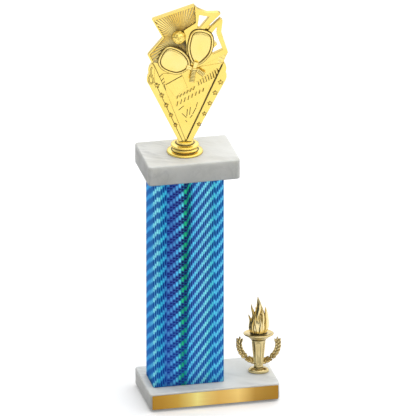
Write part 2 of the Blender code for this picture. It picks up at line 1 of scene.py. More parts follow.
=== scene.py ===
"""Looks of the column trophy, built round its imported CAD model.

Metres, +Z is up and the trophy faces -Y. Relief on the topper and the torch is drawn in
millimetres in a frame of its own, and a matrix puts it in place.
"""

import math
import random

import bmesh
import bpy
from mathutils import Matrix, Vector


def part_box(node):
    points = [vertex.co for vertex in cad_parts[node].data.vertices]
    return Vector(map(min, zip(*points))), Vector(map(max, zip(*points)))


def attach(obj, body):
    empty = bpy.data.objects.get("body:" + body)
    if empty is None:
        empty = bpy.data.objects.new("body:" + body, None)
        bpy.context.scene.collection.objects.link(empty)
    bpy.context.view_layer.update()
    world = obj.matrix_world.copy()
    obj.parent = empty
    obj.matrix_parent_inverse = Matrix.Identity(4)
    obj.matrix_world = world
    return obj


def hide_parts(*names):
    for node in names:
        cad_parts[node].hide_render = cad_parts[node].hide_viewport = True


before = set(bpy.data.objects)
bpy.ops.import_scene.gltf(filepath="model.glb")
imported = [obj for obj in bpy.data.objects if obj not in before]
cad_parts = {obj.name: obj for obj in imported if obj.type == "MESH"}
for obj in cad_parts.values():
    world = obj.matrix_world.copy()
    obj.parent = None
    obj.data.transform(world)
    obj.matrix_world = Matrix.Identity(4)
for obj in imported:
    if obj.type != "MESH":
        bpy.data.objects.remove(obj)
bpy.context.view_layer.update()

MM = 0.001

# Camera: nearly parallel, from the left and above, aimed beside and above the middle of the base
CAMERA_AZIMUTH = math.radians(-12.6)
CAMERA_ELEVATION = math.radians(23.2)
CAMERA_LENS = 1500
CAMERA_DISTANCE = 17.62
AIM_RIGHT = 0.7 * MM
AIM_UP = 186 * MM

# Brightness of the light tent by the sine of the height above the horizon
TENT = [(-1.0, 0.18), (-0.05, 0.18), (0.0, 0.16), (0.1, 0.24), (0.2, 0.5), (0.4, 0.88), (1.0, 1.0)]
TENT_STRENGTH = 1.6
# Share of the tent's light at its left, and the stretch across X over which it rises to all of it
TENT_LEFT = 0.35
TENT_FADE = (-0.9, 0.1)
# Level of the world where the camera sees it directly: white, once the strength is counted
BACKDROP = 0.62
FLOOR_RADIUS = 30
FLOOR_GLOW = 0.06

# Golds by name: colour, worn shade, reach of the painted groove shade in mm, roughness, grain, metallic
GOLDS = {
    "bright_gold": ("FFE47E", "FCDC70", 1.6, 0.2, 900, 0.88),
    # Paler copy of the bright gold: a painted highlight on the paddles and the rays
    "paddle_gold": ("FFE794", "FFE27E", 0.9, 0.24, 900, 0.9),
    # Darker, matt copy of the gold for the ray grounds: partly a matt finish, partly painted shade
    "shaded_gold": ("B4A67C", "A0926A", 0.8, 0.42, 500, 0.85),
    # Dark copy of the gold: painted shade for outlines, grooves, steps and rings
    "painted_shade_gold": ("66582E", "4C4220", 0.8, 0.3, 500, 0.7),
    # Lighter copy of the satin gold: painted light on the flame, brighter than stem and cup
    "pale_gold": ("F4E2AC", "E6D092", 1.2, 0.16, 700, 0.95),
    "satin_gold": ("E2D09A", "C8B27A", 1.2, 0.17, 700, 0.95),
}
# Colour of the painted shade in the golds' grooves
GROOVE_PAINTED_SHADE = (0.1, 0.07, 0.02, 1)

# Base, cap, nameplate and film
SLAB_CORNER = 3.5 * MM
SLAB_EDGE = 1.5 * MM
NAMEPLATE_TRIM = 0.6 * MM
FILM_CORNER = 1.8 * MM
FILM_INNER_CORNER = 1.5 * MM
FILM_THICKNESS = 0.28 * MM
FILM_LAP = 5 * MM
FILM_LIFT = 0.22 * MM
FELT_FUZZ = 0.12 * MM

# Topper: a relief turned a little to the left on its rod
TOPPER_TURN = math.radians(-10)
PLAQUE_BACK = 1.5
PLAQUE_FLOOR = -2.5
SHIELD_FLOOR = -2.9
PLAQUE_FACE = -4.5
RIGHT_WING_FACE = PLAQUE_FACE - 0.2
# How far a raised layer reaches into the layer under it
OVERLAP = 0.2
# Distance between two windings of a paddle's grip
GRIP_PITCH = 1.55
BURST_CENTRE = Vector((-3, 125))
RAY_STEP = math.radians(5)

# Stretches of the topper's edge that several outlines share, as (across, up) in mm, clockwise
STAR_EDGE = [(12.3, 157), (22, 152.6), (33.5, 152.9), (36, 151), (24, 138.8)]
FRAME_EDGE = [(25.5, 136.8), (35.3, 146.2), (38, 143.6), (36.6, 131), (43.4, 108.7)]
RIGHT_EDGE = [
    (39.1, 98.5), (41.1, 95.5), (41.9, 92), (41, 88), (41.9, 85.5), (42, 82), (41.1, 79.2), (6.5, 12.3),
]
LEFT_EDGE = [
    (-6.2, 12.3), (-36.8, 75.6), (-38.6, 79), (-38.6, 83), (-36.8, 87.8), (-37.4, 91.5), (-36, 95.5),
    (-33.5, 98.8),
]
BURST_EDGE = [(-33.5, 98.8), (-37.9, 107.6), (-22.7, 126.2)]
BURST_TOP = [(-33.4, 146.2), (8.8, 161.2)]

# Outlines on the topper
PLAQUE_OUTLINE = (
    BURST_TOP[1:] + STAR_EDGE + FRAME_EDGE + RIGHT_EDGE + LEFT_EDGE + BURST_EDGE[1:] + BURST_TOP[:1]
)
STAR_WINDOW = [(14.4, 150.3), (24.2, 148.2), (13.8, 135.2), (12.5, 136.4)]
FRAME_WINDOW = [
    (32.1, 137.2), (31.7, 129.6), (37.9, 112.2), (28.3, 107.6), (25.9, 111.5),
    (32.5, 117.8), (28.3, 122.4), (26.1, 128.8),
]
BURST_PANEL = (
    BURST_TOP + [(11, 158.4), (11, 142), (-1.5, 133.5), (1.5, 118), (1.5, 98)] + BURST_EDGE
)
BURST_RIM = (
    BURST_TOP + [(9.5, 159.4), (-31, 145.1), (-20.7, 126.2), (-35.6, 107.5), (-31.8, 99.8)] + BURST_EDGE
)
STAR_PLATE = (
    [(9.8, 159.9)] + STAR_EDGE + [(18.3, 132.8), (21, 130.3)] + FRAME_EDGE
    + [(12, 92.6), (1.5, 98), (1.5, 118), (-1.5, 133.5), (11, 142)]
)
STRIPED_STEP = [(31, 102.8), (43, 108.4), (39, 98.6), (35.5, 96.8)]
RIGHT_WING = RIGHT_EDGE + [(1.2, 12.3)]
LEFT_WING = [(-2.3, 12.3)] + LEFT_EDGE + [(-31, 95), (-30.6, 78.5)]
LEFT_BEVEL = [(-2.3, 12.3), (-30.6, 78.5), (-31, 95), (-18.6, 65.8), (0.5, 12.3)]
COURT_PANELS = [
    [(-19.2, 74.3), (-2.6, 84), (2.2, 71.8), (-9.8, 61)],
    [(-22.6, 86.6), (-4.6, 87.2), (-3.2, 84.6), (-19.8, 75.2)],
]
COURT_LINES = [
    ((-19.6, 74.2), (-2.9, 84)), ((-2.9, 84), (2.1, 71)), ((-22.6, 86.4), (-26.4, 82.2)),
    ((-21, 82), (-24.8, 78)), ((-20.4, 78), (-23.4, 75)), ((-21, 75), (-19.4, 68)),
]
# Rows of slanted bars: first and last middle, how many, first and last length, lean
BAR_ROWS = [
    ((-8.4, 60.7), (8.2, 70.2), 6, 4.2, 4.6, 0.35), ((12.6, 75.4), (32.8, 87.4), 9, 5.0, 8.0, -0.28),
    ((-8.6, 53.6), (17.6, 68.3), 8, 5.6, 4.2, 0.2),
]
CHEVRON = [
    ((-3.1, 42.7), (1.5, 38)), ((4.9, 37.5), (7.4, 40.8)), ((7.6, 41.6), (11.2, 48.9)),
    ((11.4, 49.6), (12.5, 54.5)), ((2.4, 47.5), (1.8, 39.4)), ((5.4, 49.5), (4.6, 41)),
    ((0.4, 35.2), (2.2, 33)), ((-6.6, 46.2), (-1.2, 51)),
]
# Lines of painted shade at the foot of the wings: start, end and width
WING_SHADE_LINES = [
    ((37.6, 95.2), (20, 55.2), 1.35), ((20, 55.2), (2.2, 15.2), 1.05),
    ((-30.7, 78.4), (-2.6, 13.2), 0.55),
]
WING_SHADE_LINE_LEVEL = -4.6
LEFT_FACE = [
    (-20.6, 111.4), (-14.6, 114.8), (-5, 110.6), (1, 104), (2.8, 96.8), (-0.8, 92), (-9.5, 89.2),
    (-20.8, 93.6), (-24.8, 101),
]
RIGHT_FACE = [
    (9.4, 131.2), (17, 132.2), (24.8, 128.4), (26.2, 119.4), (23.2, 108.8), (13.8, 99.2), (8.4, 102),
    (5.1, 113.4), (6.4, 124.2),
]
RIBBON_LOOP = [(-34.4, 86.4), (-36.6, 81.4), (-35.2, 76.6), (-32, 78.6), (-33, 83.4)]
RIBBON_TAIL = [(-34.4, 86.4), (-34.6, 90.5), (-33.3, 94.6)]
BALL_CENTRE = Vector((-6.4, 127))
BALL_RADIUS = 6.9
BALL_HOLES = 34
BALL_HOLE_ANGLE = math.radians(11)
BALL_HOLE_EDGE = math.radians(3.5)
BALL_HOLE_DEPTH = 0.85
# The panel cuts the ball behind its middle, at this latitude
BALL_CUT = math.radians(25)

# Torch ornament, in millimetres from the middle of its foot
TORCH_TURN = math.radians(-13)
TORCH_FLATTENING = 0.7
STEM_PANELS = 6
STEM_BOTTOM = 5.6
STEM_TOP = 34.4
STEM_RADII = (4.55, 7.2)
STEM_START = 6.4
# Arched panels of the stem: sunk share of their width, depth, and how far their edge slopes
PANEL_SHARE = 0.84
PANEL_DEPTH = 0.9
PANEL_SLOPE = 0.9
CUP_LIP = 41.9
FLAME_BASE = 43.1
WREATH_RADIUS = 19.6
WREATH_HEIGHT = 30.6
WREATH_TIP_ANGLE = math.radians(110)
# Near its root a branch bends back and down, over these angles and by these distances
WREATH_ROOT_ANGLES = (math.radians(17), math.radians(42))
WREATH_ROOT_BEND = (6, 2.6)
# Angle of the first leaves, and how far before the tip the rows, the last leaves and the branch end
WREATH_START = math.radians(6)
WREATH_ROWS_END = math.radians(22)
WREATH_LAST_LEAVES = math.radians(15)
WREATH_BRANCH_END = math.radians(8)
# Leaves of a row and of a tip: lean, offset aside and ahead, lift, and width
WREATH_ROW = ((0.38, 0.8, 0.0, 0.3, 2.4), (-0.38, -0.8, 0.0, 0.3, 2.4), (0.0, 0.0, 2.0, 0.6, 2.0))
WREATH_TIP = ((0.0, 0.0, 0.0, 0.0, 2.5), (0.42, 1.3, 0.0, 0.0, 2.5), (-0.42, -1.3, 0.0, 0.0, 2.5))

# Weave of the column's film, in millimetres from its front left corner; it repeats round the column.
# A narrow side counts SIDE_SHRINK of its length, so its strips come out wider.
WEAVE_REPEAT = 81.2
SIDE_SHRINK = 0.5
WEAVE_START = 8.0
WEAVE_RISE = 2.35
WEAVE_PERIOD = 11.755
WEAVE_LIFT = 2.1
# Share of the repeat at which each zone of the weave ends, its strips' width, and its shift up
WEAVE_ZONES = [
    (0.16, 1.875, 0.0), (0.269, 2.186, 0.225), (0.538, 2.98, 0.677), (0.885, 1.81, 0.451),
    (1.0, 1.727, 0.771),
]


# ---------------------------------------------------------------- materials


class Nodes:
    """A node tree, with short calls for the nodes that it needs."""

    def __init__(self, tree):
        self.tree = tree

    def node(self, kind, **settings):
        made = self.tree.nodes.new(kind)
        for name, value in settings.items():
            setattr(made, name, value)
        return made

    def feed(self, socket, value):
        if isinstance(value, bpy.types.NodeSocket):
            self.tree.links.new(value, socket)
        else:
            socket.default_value = value

    def place(self, space="Object"):
        return self.node("ShaderNodeTexCoord").outputs[space]

    def stretched(self, vector, scale):
        made = self.node("ShaderNodeMapping")
        self.feed(made.inputs["Vector"], vector)
        made.inputs["Scale"].default_value = scale
        return made.outputs["Vector"]

    def axes(self, vector):
        made = self.node("ShaderNodeSeparateXYZ")
        self.feed(made.inputs[0], vector)
        return made.outputs

    def maths(self, operation, first, second=0.0):
        made = self.node("ShaderNodeMath", operation=operation)
        self.feed(made.inputs[0], first)
        self.feed(made.inputs[1], second)
        return made.outputs[0]

    def times(self, first, second):
        return self.maths("MULTIPLY", first, second)

    def noise(self, vector, scale, detail=3.0, roughness=0.5, distortion=0.0):
        made = self.node("ShaderNodeTexNoise")
        self.feed(made.inputs["Vector"], vector)
        made.inputs["Scale"].default_value = scale
        made.inputs["Detail"].default_value = detail
        made.inputs["Roughness"].default_value = roughness
        made.inputs["Distortion"].default_value = distortion
        return made.outputs["Fac"]

    def ramp(self, value, stops, interpolation="LINEAR"):
        made = self.node("ShaderNodeValToRGB")
        made.color_ramp.interpolation = interpolation
        points = made.color_ramp.elements
        while len(points) < len(stops):
            points.new(1.0)
        for point, (position, colour) in zip(points, stops):
            point.position = position
            point.color = (*colour, 1)
        self.feed(made.inputs[0], value)
        return made.outputs["Color"]

    def spread(self, value, low, high, start=0.0, end=1.0):
        """The value's range low to high, moved to start to end and held there."""
        made = self.node("ShaderNodeMapRange", clamp=True)
        for socket, number in zip(made.inputs, (value, low, high, start, end)):
            self.feed(socket, number)
        return made.outputs[0]

    def mix(self, amount, first, second):
        made = self.node("ShaderNodeMix", data_type="RGBA")
        self.feed(made.inputs[0], amount)
        self.feed(made.inputs[6], first)
        self.feed(made.inputs[7], second)
        return made.outputs[2]

    def pulse(self, phase, start, end, soft):
        """1 between start and end of a phase, with soft sides."""
        rise = self.spread(phase, start - soft, start + soft)
        fall = self.spread(phase, end - soft, end + soft, 1.0, 0.0)
        return self.times(rise, fall)


class Paint(Nodes):
    """One material, with its Principled shader."""

    def __init__(self, name, **constants):
        self.material = bpy.data.materials.new(name)
        self.material.use_nodes = True
        super().__init__(self.material.node_tree)
        self.shader = self.tree.nodes["Principled BSDF"]
        for socket, value in constants.items():
            self.shader.inputs[socket.replace("_", " ")].default_value = value

    def drive(self, socket, value):
        self.feed(self.shader.inputs[socket], value)

    def bump(self, height, strength, distance):
        made = self.node("ShaderNodeBump")
        made.inputs["Strength"].default_value = strength
        made.inputs["Distance"].default_value = distance
        self.feed(made.inputs["Height"], height)
        self.drive("Normal", made.outputs["Normal"])

    def crevice(self, distance, floor):
        """1 in the open, down to floor in narrow grooves."""
        made = self.node("ShaderNodeAmbientOcclusion", samples=8)
        made.inputs["Distance"].default_value = distance
        return self.spread(made.outputs["AO"], 0.25, 0.85, floor, 1.0)


def hexed(code):
    """Linear colour of an sRGB hex code."""
    channels = [int(code[index:index + 2], 16) / 255 for index in (0, 2, 4)]
    return tuple(c / 12.92 if c <= 0.04045 else ((c + 0.055) / 1.055) ** 2.4 for c in channels)


def coloured(stops):
    return [(position, hexed(code)) for position, code in stops]


def marble_material(name, shift):
    """Polished white marble: clouds, long soft veins and a fine crystal grain."""
    paint = Paint(
        name, Subsurface_Weight=0.9, Subsurface_Scale=8 * MM, Specular_IOR_Level=0.25,
        Subsurface_Radius=(1.0, 0.97, 0.88),
    )
    place = paint.node("ShaderNodeVectorMath", operation="ADD")
    paint.feed(place.inputs[0], paint.place())
    place.inputs[1].default_value = shift
    place = place.outputs[0]
    turn = paint.node("ShaderNodeVectorRotate", rotation_type="Z_AXIS")
    paint.feed(turn.inputs["Vector"], place)
    turn.inputs["Angle"].default_value = math.radians(38)
    slanted = paint.stretched(turn.outputs[0], (0.5, 1.4, 1.1))
    clouds = paint.noise(slanted, 22, 5, 0.6, 0.8)
    base = paint.ramp(clouds, [(0.3, (0.62, 0.63, 0.6)), (0.6, (0.73, 0.735, 0.71))])
    veins = paint.noise(slanted, 15, 7, 0.62, 1.4)
    middle = paint.maths("ABSOLUTE", paint.maths("SUBTRACT", veins, 0.5))
    vein = paint.spread(middle, 0.0, 0.05, 1.0, 0.0)
    patchy = paint.spread(paint.noise(place, 12, 2), 0.42, 0.66)
    vein = paint.times(paint.times(vein, patchy), 0.5)
    base = paint.mix(vein, base, (0.4, 0.41, 0.4, 1))
    smudge = paint.spread(paint.noise(slanted, 36, 4, 0.5, 0.4), 0.58, 0.78, 0.0, 0.5)
    base = paint.mix(smudge, base, (0.45, 0.44, 0.39, 1))
    grain = paint.noise(place, 2600, 2)
    base = paint.mix(paint.spread(grain, 0.4, 0.62, 0.0, 0.05), base, (0.95, 0.96, 0.95, 1))
    paint.drive("Base Color", base)
    paint.drive("Roughness", paint.spread(grain, 0.3, 0.7, 0.36, 0.48))
    paint.bump(grain, 0.12, 0.15 * MM)
    return paint.material


def gold_material(name, colour, shade, groove, roughness, grain_scale, metallic):
    """Vacuum-metallised plastic: clean gold, browned in its grooves by painted shade, with a faint moulded
    grain.
    """
    paint = Paint(name, Metallic=metallic, Coat_Weight=0.2, Coat_Roughness=0.08)
    place = paint.place()
    tone = paint.spread(paint.noise(place, 60, 3), 0.3, 0.7)
    base = paint.mix(tone, (*hexed(colour), 1), (*hexed(shade), 1))
    # Painted shade: where ambient occlusion finds a narrow groove, the colour goes to the dark groove
    # colour
    open_sky = paint.crevice(groove * MM, 0.0)
    paint.drive("Base Color", paint.mix(open_sky, GROOVE_PAINTED_SHADE, base))
    grain = paint.noise(place, grain_scale, 3)
    worn = paint.spread(open_sky, 0.0, 1.0, 0.12, 0.0)
    rough = paint.spread(grain, 0.3, 0.7, roughness, roughness + 0.03)
    paint.drive("Roughness", paint.maths("ADD", rough, worn))
    paint.bump(grain, 0.02, 0.01 * MM)
    return paint.material


def nameplate_material(low_x, high_x):
    """Brushed gold sheet: upright light and dark bands of painted reflection, brushed along its length."""
    paint = Paint("brushed_gold_sheet_painted_sheen", Metallic=1.0, Anisotropic=0.6)
    place = paint.place()
    along = paint.spread(paint.axes(place)[0], low_x, high_x)
    # Painted reflection: the colour ramp along the sheet gives upright light and dark bands of sheen
    sheen_band_position = paint.maths("ADD", along, paint.times(paint.noise(place, 9, 1), 0.03))
    stops = [
        (0.0, "A87D2B"), (0.1, "B88A35"), (0.22, "C9A046"), (0.32, "E3C972"), (0.375, "F2E48E"),
        (0.45, "E6C876"), (0.545, "DDB260"), (0.62, "E6BE6C"), (0.7, "F1CE7C"), (0.755, "DDB566"),
        (0.83, "B58C40"), (0.92, "A67E34"), (1.0, "A2762A"),
    ]
    base = paint.ramp(sheen_band_position, coloured(stops))
    brushed = paint.noise(paint.stretched(place, (6, 1, 900)), 6, 4, 0.7)
    base = paint.mix(paint.spread(brushed, 0.35, 0.65, 0.0, 0.16), base, (0.45, 0.28, 0.08, 1))
    paint.drive("Base Color", base)
    paint.drive("Roughness", paint.spread(brushed, 0.3, 0.7, 0.3, 0.42))
    paint.bump(brushed, 0.1, 0.05 * MM)
    return paint.material


# Colours of the film round one repeat of its weave: its bright, middle and dark threads
BAND_BRIGHT = [
    (0.0, "68C6E1"), (0.06, "83D9E2"), (0.15, "7FD7E2"), (0.19, "43C2CE"), (0.23, "37B3D5"),
    (0.29, "3F7BBB"), (0.35, "488ECA"), (0.41, "56B7EC"), (0.45, "59D5E4"), (0.475, "2CC286"),
    (0.515, "169961"), (0.545, "1D9D95"), (0.585, "52CAEC"), (0.66, "6CD2E8"), (0.78, "7FE1E6"),
    (0.845, "47C6CA"), (0.89, "56C6E6"), (1.0, "65CAE8"),
]
BAND_MIDDLE = [
    (0.0, "3474B1"), (0.14, "2D71AD"), (0.2, "1F66A6"), (0.27, "1F4691"), (0.33, "2D4291"),
    (0.42, "2D428A"), (0.48, "173B74"), (0.54, "14306D"), (0.6, "3454A6"), (0.72, "3462AD"),
    (0.82, "2D6AAD"), (0.92, "266AB1"), (1.0, "2D71B1"),
]
BAND_DARK = [
    (0.0, "093482"), (0.12, "09307E"), (0.22, "092974"), (0.3, "171E62"), (0.42, "17175E"),
    (0.48, "170D3B"), (0.54, "120D3B"), (0.6, "141769"), (0.7, "0D1B69"), (0.8, "09175E"),
    (0.9, "081E69"), (1.0, "09307E"),
]


def foil_material():
    """Metallised film that imitates a twill weave, with colours that change in upright bands."""
    paint = Paint("blue_weave_film", Metallic=0.9, Specular_Tint=(0.2, 0.45, 0.8, 1))
    across, up, _ = paint.axes(paint.node("ShaderNodeUVMap", uv_map="girth").outputs[0])
    shifted = paint.maths("ADD", across, WEAVE_START)
    turn = paint.maths("FRACT", paint.maths("DIVIDE", shifted, WEAVE_REPEAT))

    strips, start = 0.0, 0.0
    counts = [(0.0, 0.0)]
    shifts = []
    for end, width, shift in WEAVE_ZONES:
        shifts.append((start, (shift, shift, shift)))
        strips += (end - start) * WEAVE_REPEAT / width
        counts.append((end, strips))
        start = end
    ramp = paint.ramp(turn, [(end, (count / strips,) * 3) for end, count in counts])
    strip = paint.times(ramp, strips)
    shift = paint.ramp(turn, shifts, "CONSTANT")
    first = WEAVE_START / WEAVE_ZONES[0][1]

    # Where a point is in its strip's repeat, and where it is across the strip
    steps = paint.maths("SUBTRACT", paint.maths("FLOOR", strip), first - 0.5)
    lifted = paint.maths("SUBTRACT", up, WEAVE_LIFT)
    risen = paint.maths("SUBTRACT", lifted, paint.times(steps, WEAVE_RISE))
    repeat = paint.maths("ADD", paint.maths("DIVIDE", risen, WEAVE_PERIOD), shift)
    weft = paint.maths("FRACT", paint.maths("ADD", repeat, 0.5))
    side = paint.maths("FRACT", strip)

    wander = paint.times(paint.noise(paint.place(), 14, 2), 0.04)
    lean = paint.times(up, -0.0003)
    band = paint.maths("ADD", turn, paint.maths("ADD", wander, lean))
    band = paint.maths("FRACT", paint.maths("ADD", band, 0.02))
    bright, middle, dark = (
        paint.ramp(band, coloured(stops)) for stops in (BAND_BRIGHT, BAND_MIDDLE, BAND_DARK)
    )
    low = paint.spread(up, 0, 120, 0.5, 0.0)
    dark = paint.mix(low, dark, (*hexed("1444A0"), 1))
    middle = paint.mix(low, middle, (*hexed("2464BC"), 1))
    lighter = paint.mix(0.55, middle, bright)

    # Bright crossing threads, and dark upright ones or ticks between them
    weft_mask = paint.times(paint.pulse(weft, 0.31, 0.69, 0.045), paint.pulse(side, 0.1, 0.92, 0.07))
    behind = paint.maths("FRACT", paint.maths("ADD", weft, 0.5))
    upright = paint.times(paint.pulse(behind, 0.3, 0.7, 0.04), paint.pulse(side, 0.1, 0.58, 0.06))
    ticks = paint.pulse(paint.maths("FRACT", paint.times(weft, 4)), 0.3, 0.75, 0.1)
    ticks = paint.times(ticks, paint.pulse(side, 0.1, 0.95, 0.1))
    broad = paint.pulse(turn, WEAVE_ZONES[1][0], WEAVE_ZONES[2][0], 0.004)
    warp_mask = paint.mix(broad, upright, ticks)
    colour = paint.mix(paint.times(paint.pulse(side, 0.66, 1.0, 0.08), 0.35), middle, lighter)
    colour = paint.mix(warp_mask, colour, dark)
    patchy = paint.spread(paint.noise(paint.place(), 330, 2), 0.34, 0.6, 0.6, 1.0)
    colour = paint.mix(paint.times(weft_mask, patchy), colour, bright)
    paint.drive("Base Color", colour)
    paint.drive("Roughness", paint.spread(weft_mask, 0.0, 1.0, 0.42, 0.32))
    paint.bump(paint.maths("SUBTRACT", weft_mask, paint.times(warp_mask, 0.6)), 0.2, 0.05 * MM)
    return paint.material


def felt_material():
    """Pressed felt: short fibres and flecks."""
    paint = Paint("green_felt", Sheen_Weight=0.5, Sheen_Roughness=0.6)
    place = paint.place()
    fibres = paint.noise(paint.stretched(place, (1, 1, 0.4)), 1400, 4, 0.7, 0.6)
    paint.drive("Base Color", paint.ramp(fibres, [(0.3, (0.012, 0.03, 0.018)), (0.7, (0.05, 0.09, 0.06))]))
    paint.drive("Roughness", paint.spread(fibres, 0.3, 0.7, 0.85, 1.0))
    paint.bump(fibres, 0.7, 0.3 * MM)
    return paint.material


def steel_material():
    """Zinc-plated steel with faint blotches and turning marks."""
    paint = Paint("zinc_plated_steel", Metallic=1.0)
    place = paint.place()
    blotch = paint.noise(place, 350, 4)
    paint.drive("Base Color", paint.ramp(blotch, [(0.3, (0.5, 0.51, 0.52)), (0.7, (0.68, 0.69, 0.72))]))
    marks = paint.noise(paint.stretched(place, (1, 1, 12)), 900, 2)
    paint.drive("Roughness", paint.spread(marks, 0.3, 0.7, 0.28, 0.45))
    paint.bump(marks, 0.15, 0.05 * MM)
    return paint.material


def plastic_material(name, colour, roughness):
    """Plain moulded plastic with a fine grain."""
    paint = Paint(name)
    grain = paint.noise(paint.place(), 1800, 3)
    light = tuple(min(1, channel * 1.06) for channel in colour)
    paint.drive("Base Color", paint.ramp(grain, [(0.35, colour), (0.65, light)]))
    paint.drive("Roughness", paint.spread(grain, 0.3, 0.7, roughness, roughness + 0.1))
    paint.bump(grain, 0.1, 0.05 * MM)
    return paint.material


# ------------------------------------------------------------------- shapes


def to_object(name, bm):
    """The scene object of a finished bmesh."""
    mesh = bpy.data.meshes.new(name)
    bm.to_mesh(mesh)
    bm.free()
    obj = bpy.data.objects.new(name, mesh)
    bpy.context.scene.collection.objects.link(obj)
    return obj


def piece(name, bm, place, material, nodes=(), bevel=0.0, segments=2, sharp=35):
    """A finished piece of the trophy from a bmesh; bevel is in metres."""
    bm.transform(place)
    bmesh.ops.recalc_face_normals(bm, faces=bm.faces)
    obj = to_object(name, bm)
    obj.data.shade_smooth()
    obj.data.set_sharp_from_angle(angle=math.radians(sharp))
    obj.data.materials.append(material)
    if bevel:
        modifier = obj.modifiers.new("edges", "BEVEL")
        modifier.width = bevel
        modifier.segments = segments
        modifier.limit_method = "ANGLE"
        modifier.angle_limit = math.radians(sharp)
        modifier.harden_normals = True
    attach(obj, "root")
    if nodes:
        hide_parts(*nodes)
    return obj


def corners(node):
    """Lowest and highest corner of a CAD node."""
    low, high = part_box(node)
    return Vector(low), Vector(high)


def seat(node):
    """Size of a CAD node, and the matrix to the middle of its underside."""
    low, high = corners(node)
    middle = (low + high) / 2
    return high - low, Matrix.Translation((middle.x, middle.y, low.z))


def smooth_path(points, steps, closed=False):
    """A Catmull-Rom curve through 2D or 3D points."""
    points = [Vector(point) for point in points]
    count = len(points)
    path = []
    for index in range(count if closed else count - 1):
        around = []
        for shift in (-1, 0, 1, 2):
            at = (index + shift) % count if closed else min(max(index + shift, 0), count - 1)
            around.append(points[at])
        before, here, after, beyond = around
        for step in range(steps):
            t = step / steps
            bend = 2 * before - 5 * here + 4 * after - beyond
            twist = 3 * here - before - 3 * after + beyond
            path.append((2 * here + (after - before) * t + bend * t**2 + twist * t**3) / 2)
    if not closed:
        path.append(points[-1])
    return path


def offset_loop(points, distance):
    """A clockwise closed curve moved outwards."""
    moved = []
    for index, point in enumerate(points):
        along = points[(index + 1) % len(points)] - points[index - 1]
        moved.append(point + Vector((-along.y, along.x)).normalized() * distance)
    return moved


def bridge(bm, rings, closed=True):
    """Faces between rings of the same number of vertices."""
    for near, far in zip(rings, rings[1:]):
        for index in range(len(near) if closed else len(near) - 1):
            after = (index + 1) % len(near)
            corners = list(dict.fromkeys([near[index], near[after], far[after], far[index]]))
            if len(corners) > 2:
                bm.faces.new(corners)


def plate(bm, loops, front, back):
    """A flat plate between two depths, from an outline and the holes in it."""
    edges = []
    for loop in loops:
        verts = [bm.verts.new((x, back, z)) for x, z in loop]
        edges += [bm.edges.new((verts[index - 1], vert)) for index, vert in enumerate(verts)]
    filled = bmesh.ops.triangle_fill(bm, use_beauty=True, edges=edges)
    faces = [item for item in filled["geom"] if isinstance(item, bmesh.types.BMFace)]
    raised = bmesh.ops.extrude_face_region(bm, geom=faces)
    verts = [item for item in raised["geom"] if isinstance(item, bmesh.types.BMVert)]
    bmesh.ops.translate(bm, vec=(0, front - back, 0), verts=verts)
    flat = [edge for edge in bm.edges if edge.is_manifold and edge.calc_face_angle(0) < 0.01]
    bmesh.ops.dissolve_limit(bm, angle_limit=0.01, edges=flat, verts=[])


def slope(bm, outline, heights, floor):
    """A facet whose corners stand at their own heights over a flat floor."""
    top = [bm.verts.new((x, floor - height, z)) for (x, z), height in zip(outline, heights)]
    bottom = [bm.verts.new((x, floor + OVERLAP, z)) for x, z in outline]
    bm.faces.new(top)
    bm.faces.new(list(reversed(bottom)))
    for index in range(len(top)):
        after = (index + 1) % len(top)
        bm.faces.new([top[index], bottom[index], bottom[after], top[after]])


def ridge(bm, start, end, widths, heights, floor, hip=0.0):
    """A long low roof between two points."""
    start, end = Vector(start), Vector(end)
    along = (end - start).normalized()
    across = Vector((-along.y, along.x))
    ends = []
    for point, width, height, inset in (
        (start, widths[0], heights[0], hip),
        (end, widths[1], heights[1], -hip),
    ):
        top = point + along * inset
        sides = (point + across * width / 2, top, point - across * width / 2)
        ends.append([
            bm.verts.new((side.x, floor - rise, side.y)) for side, rise in zip(sides, (0, height, 0))
        ])
    bridge(bm, ends)
    bm.faces.new(ends[0])
    bm.faces.new(list(reversed(ends[1])))


def star(bm, centre, radius, height, floor, waist=0.42):
    """A five-pointed star with a raised middle."""
    top = bm.verts.new((centre[0], floor - height, centre[1]))
    bottom = bm.verts.new((centre[0], floor + 0.1, centre[1]))
    rim = []
    for point in range(10):
        reach = radius if point % 2 == 0 else radius * waist
        angle = math.pi / 2 + math.pi * point / 5
        rim.append(bm.verts.new((
            centre[0] + reach * math.cos(angle), floor + 0.02, centre[1] + reach * math.sin(angle),
        )))
    for index in range(10):
        bm.faces.new([rim[index - 1], rim[index], top])
        bm.faces.new([rim[index], rim[index - 1], bottom])


def sweep(bm, path, radii, sides=12, flat=(0, 1, 0), squash=1.0, closed=False):
    """A tube along 3D points; squash flattens it along the flat direction."""
    flat = Vector(flat)
    rings = []
    count = len(path)
    for index, point in enumerate(path):
        before = path[index - 1] if closed or index else path[0]
        after = path[(index + 1) % count] if closed or index < count - 1 else path[-1]
        along = (after - before).normalized()
        side = along.cross(flat).normalized()
        up = side.cross(along).normalized()
        ring = []
        for corner in range(sides):
            turn = math.tau * corner / sides
            ring.append(bm.verts.new(
                point + radii[index] * (side * math.cos(turn) + up * squash * math.sin(turn))
            ))
        rings.append(ring)
    if closed:
        rings.append(rings[0])
    bridge(bm, rings)
    if not closed:
        bm.faces.new(rings[0])
        bm.faces.new(list(reversed(rings[-1])))


def turned(bm, profile, sides=96, flattening=1.0, dent=None, place=None):
    """A body of revolution about Z; dent(angle, height) is taken off the radius."""
    place = place or Matrix()
    rings = []
    for radius, height in profile:
        if radius == 0:
            rings.append([bm.verts.new(place @ Vector((0, 0, height)))] * sides)
            continue
        ring = []
        for step in range(sides):
            angle = math.tau * step / sides
            reach = radius - (dent(angle, height) if dent else 0)
            point = Vector((reach * math.cos(angle), reach * math.sin(angle) * flattening, height))
            ring.append(bm.verts.new(place @ point))
        rings.append(ring)
    bridge(bm, rings)


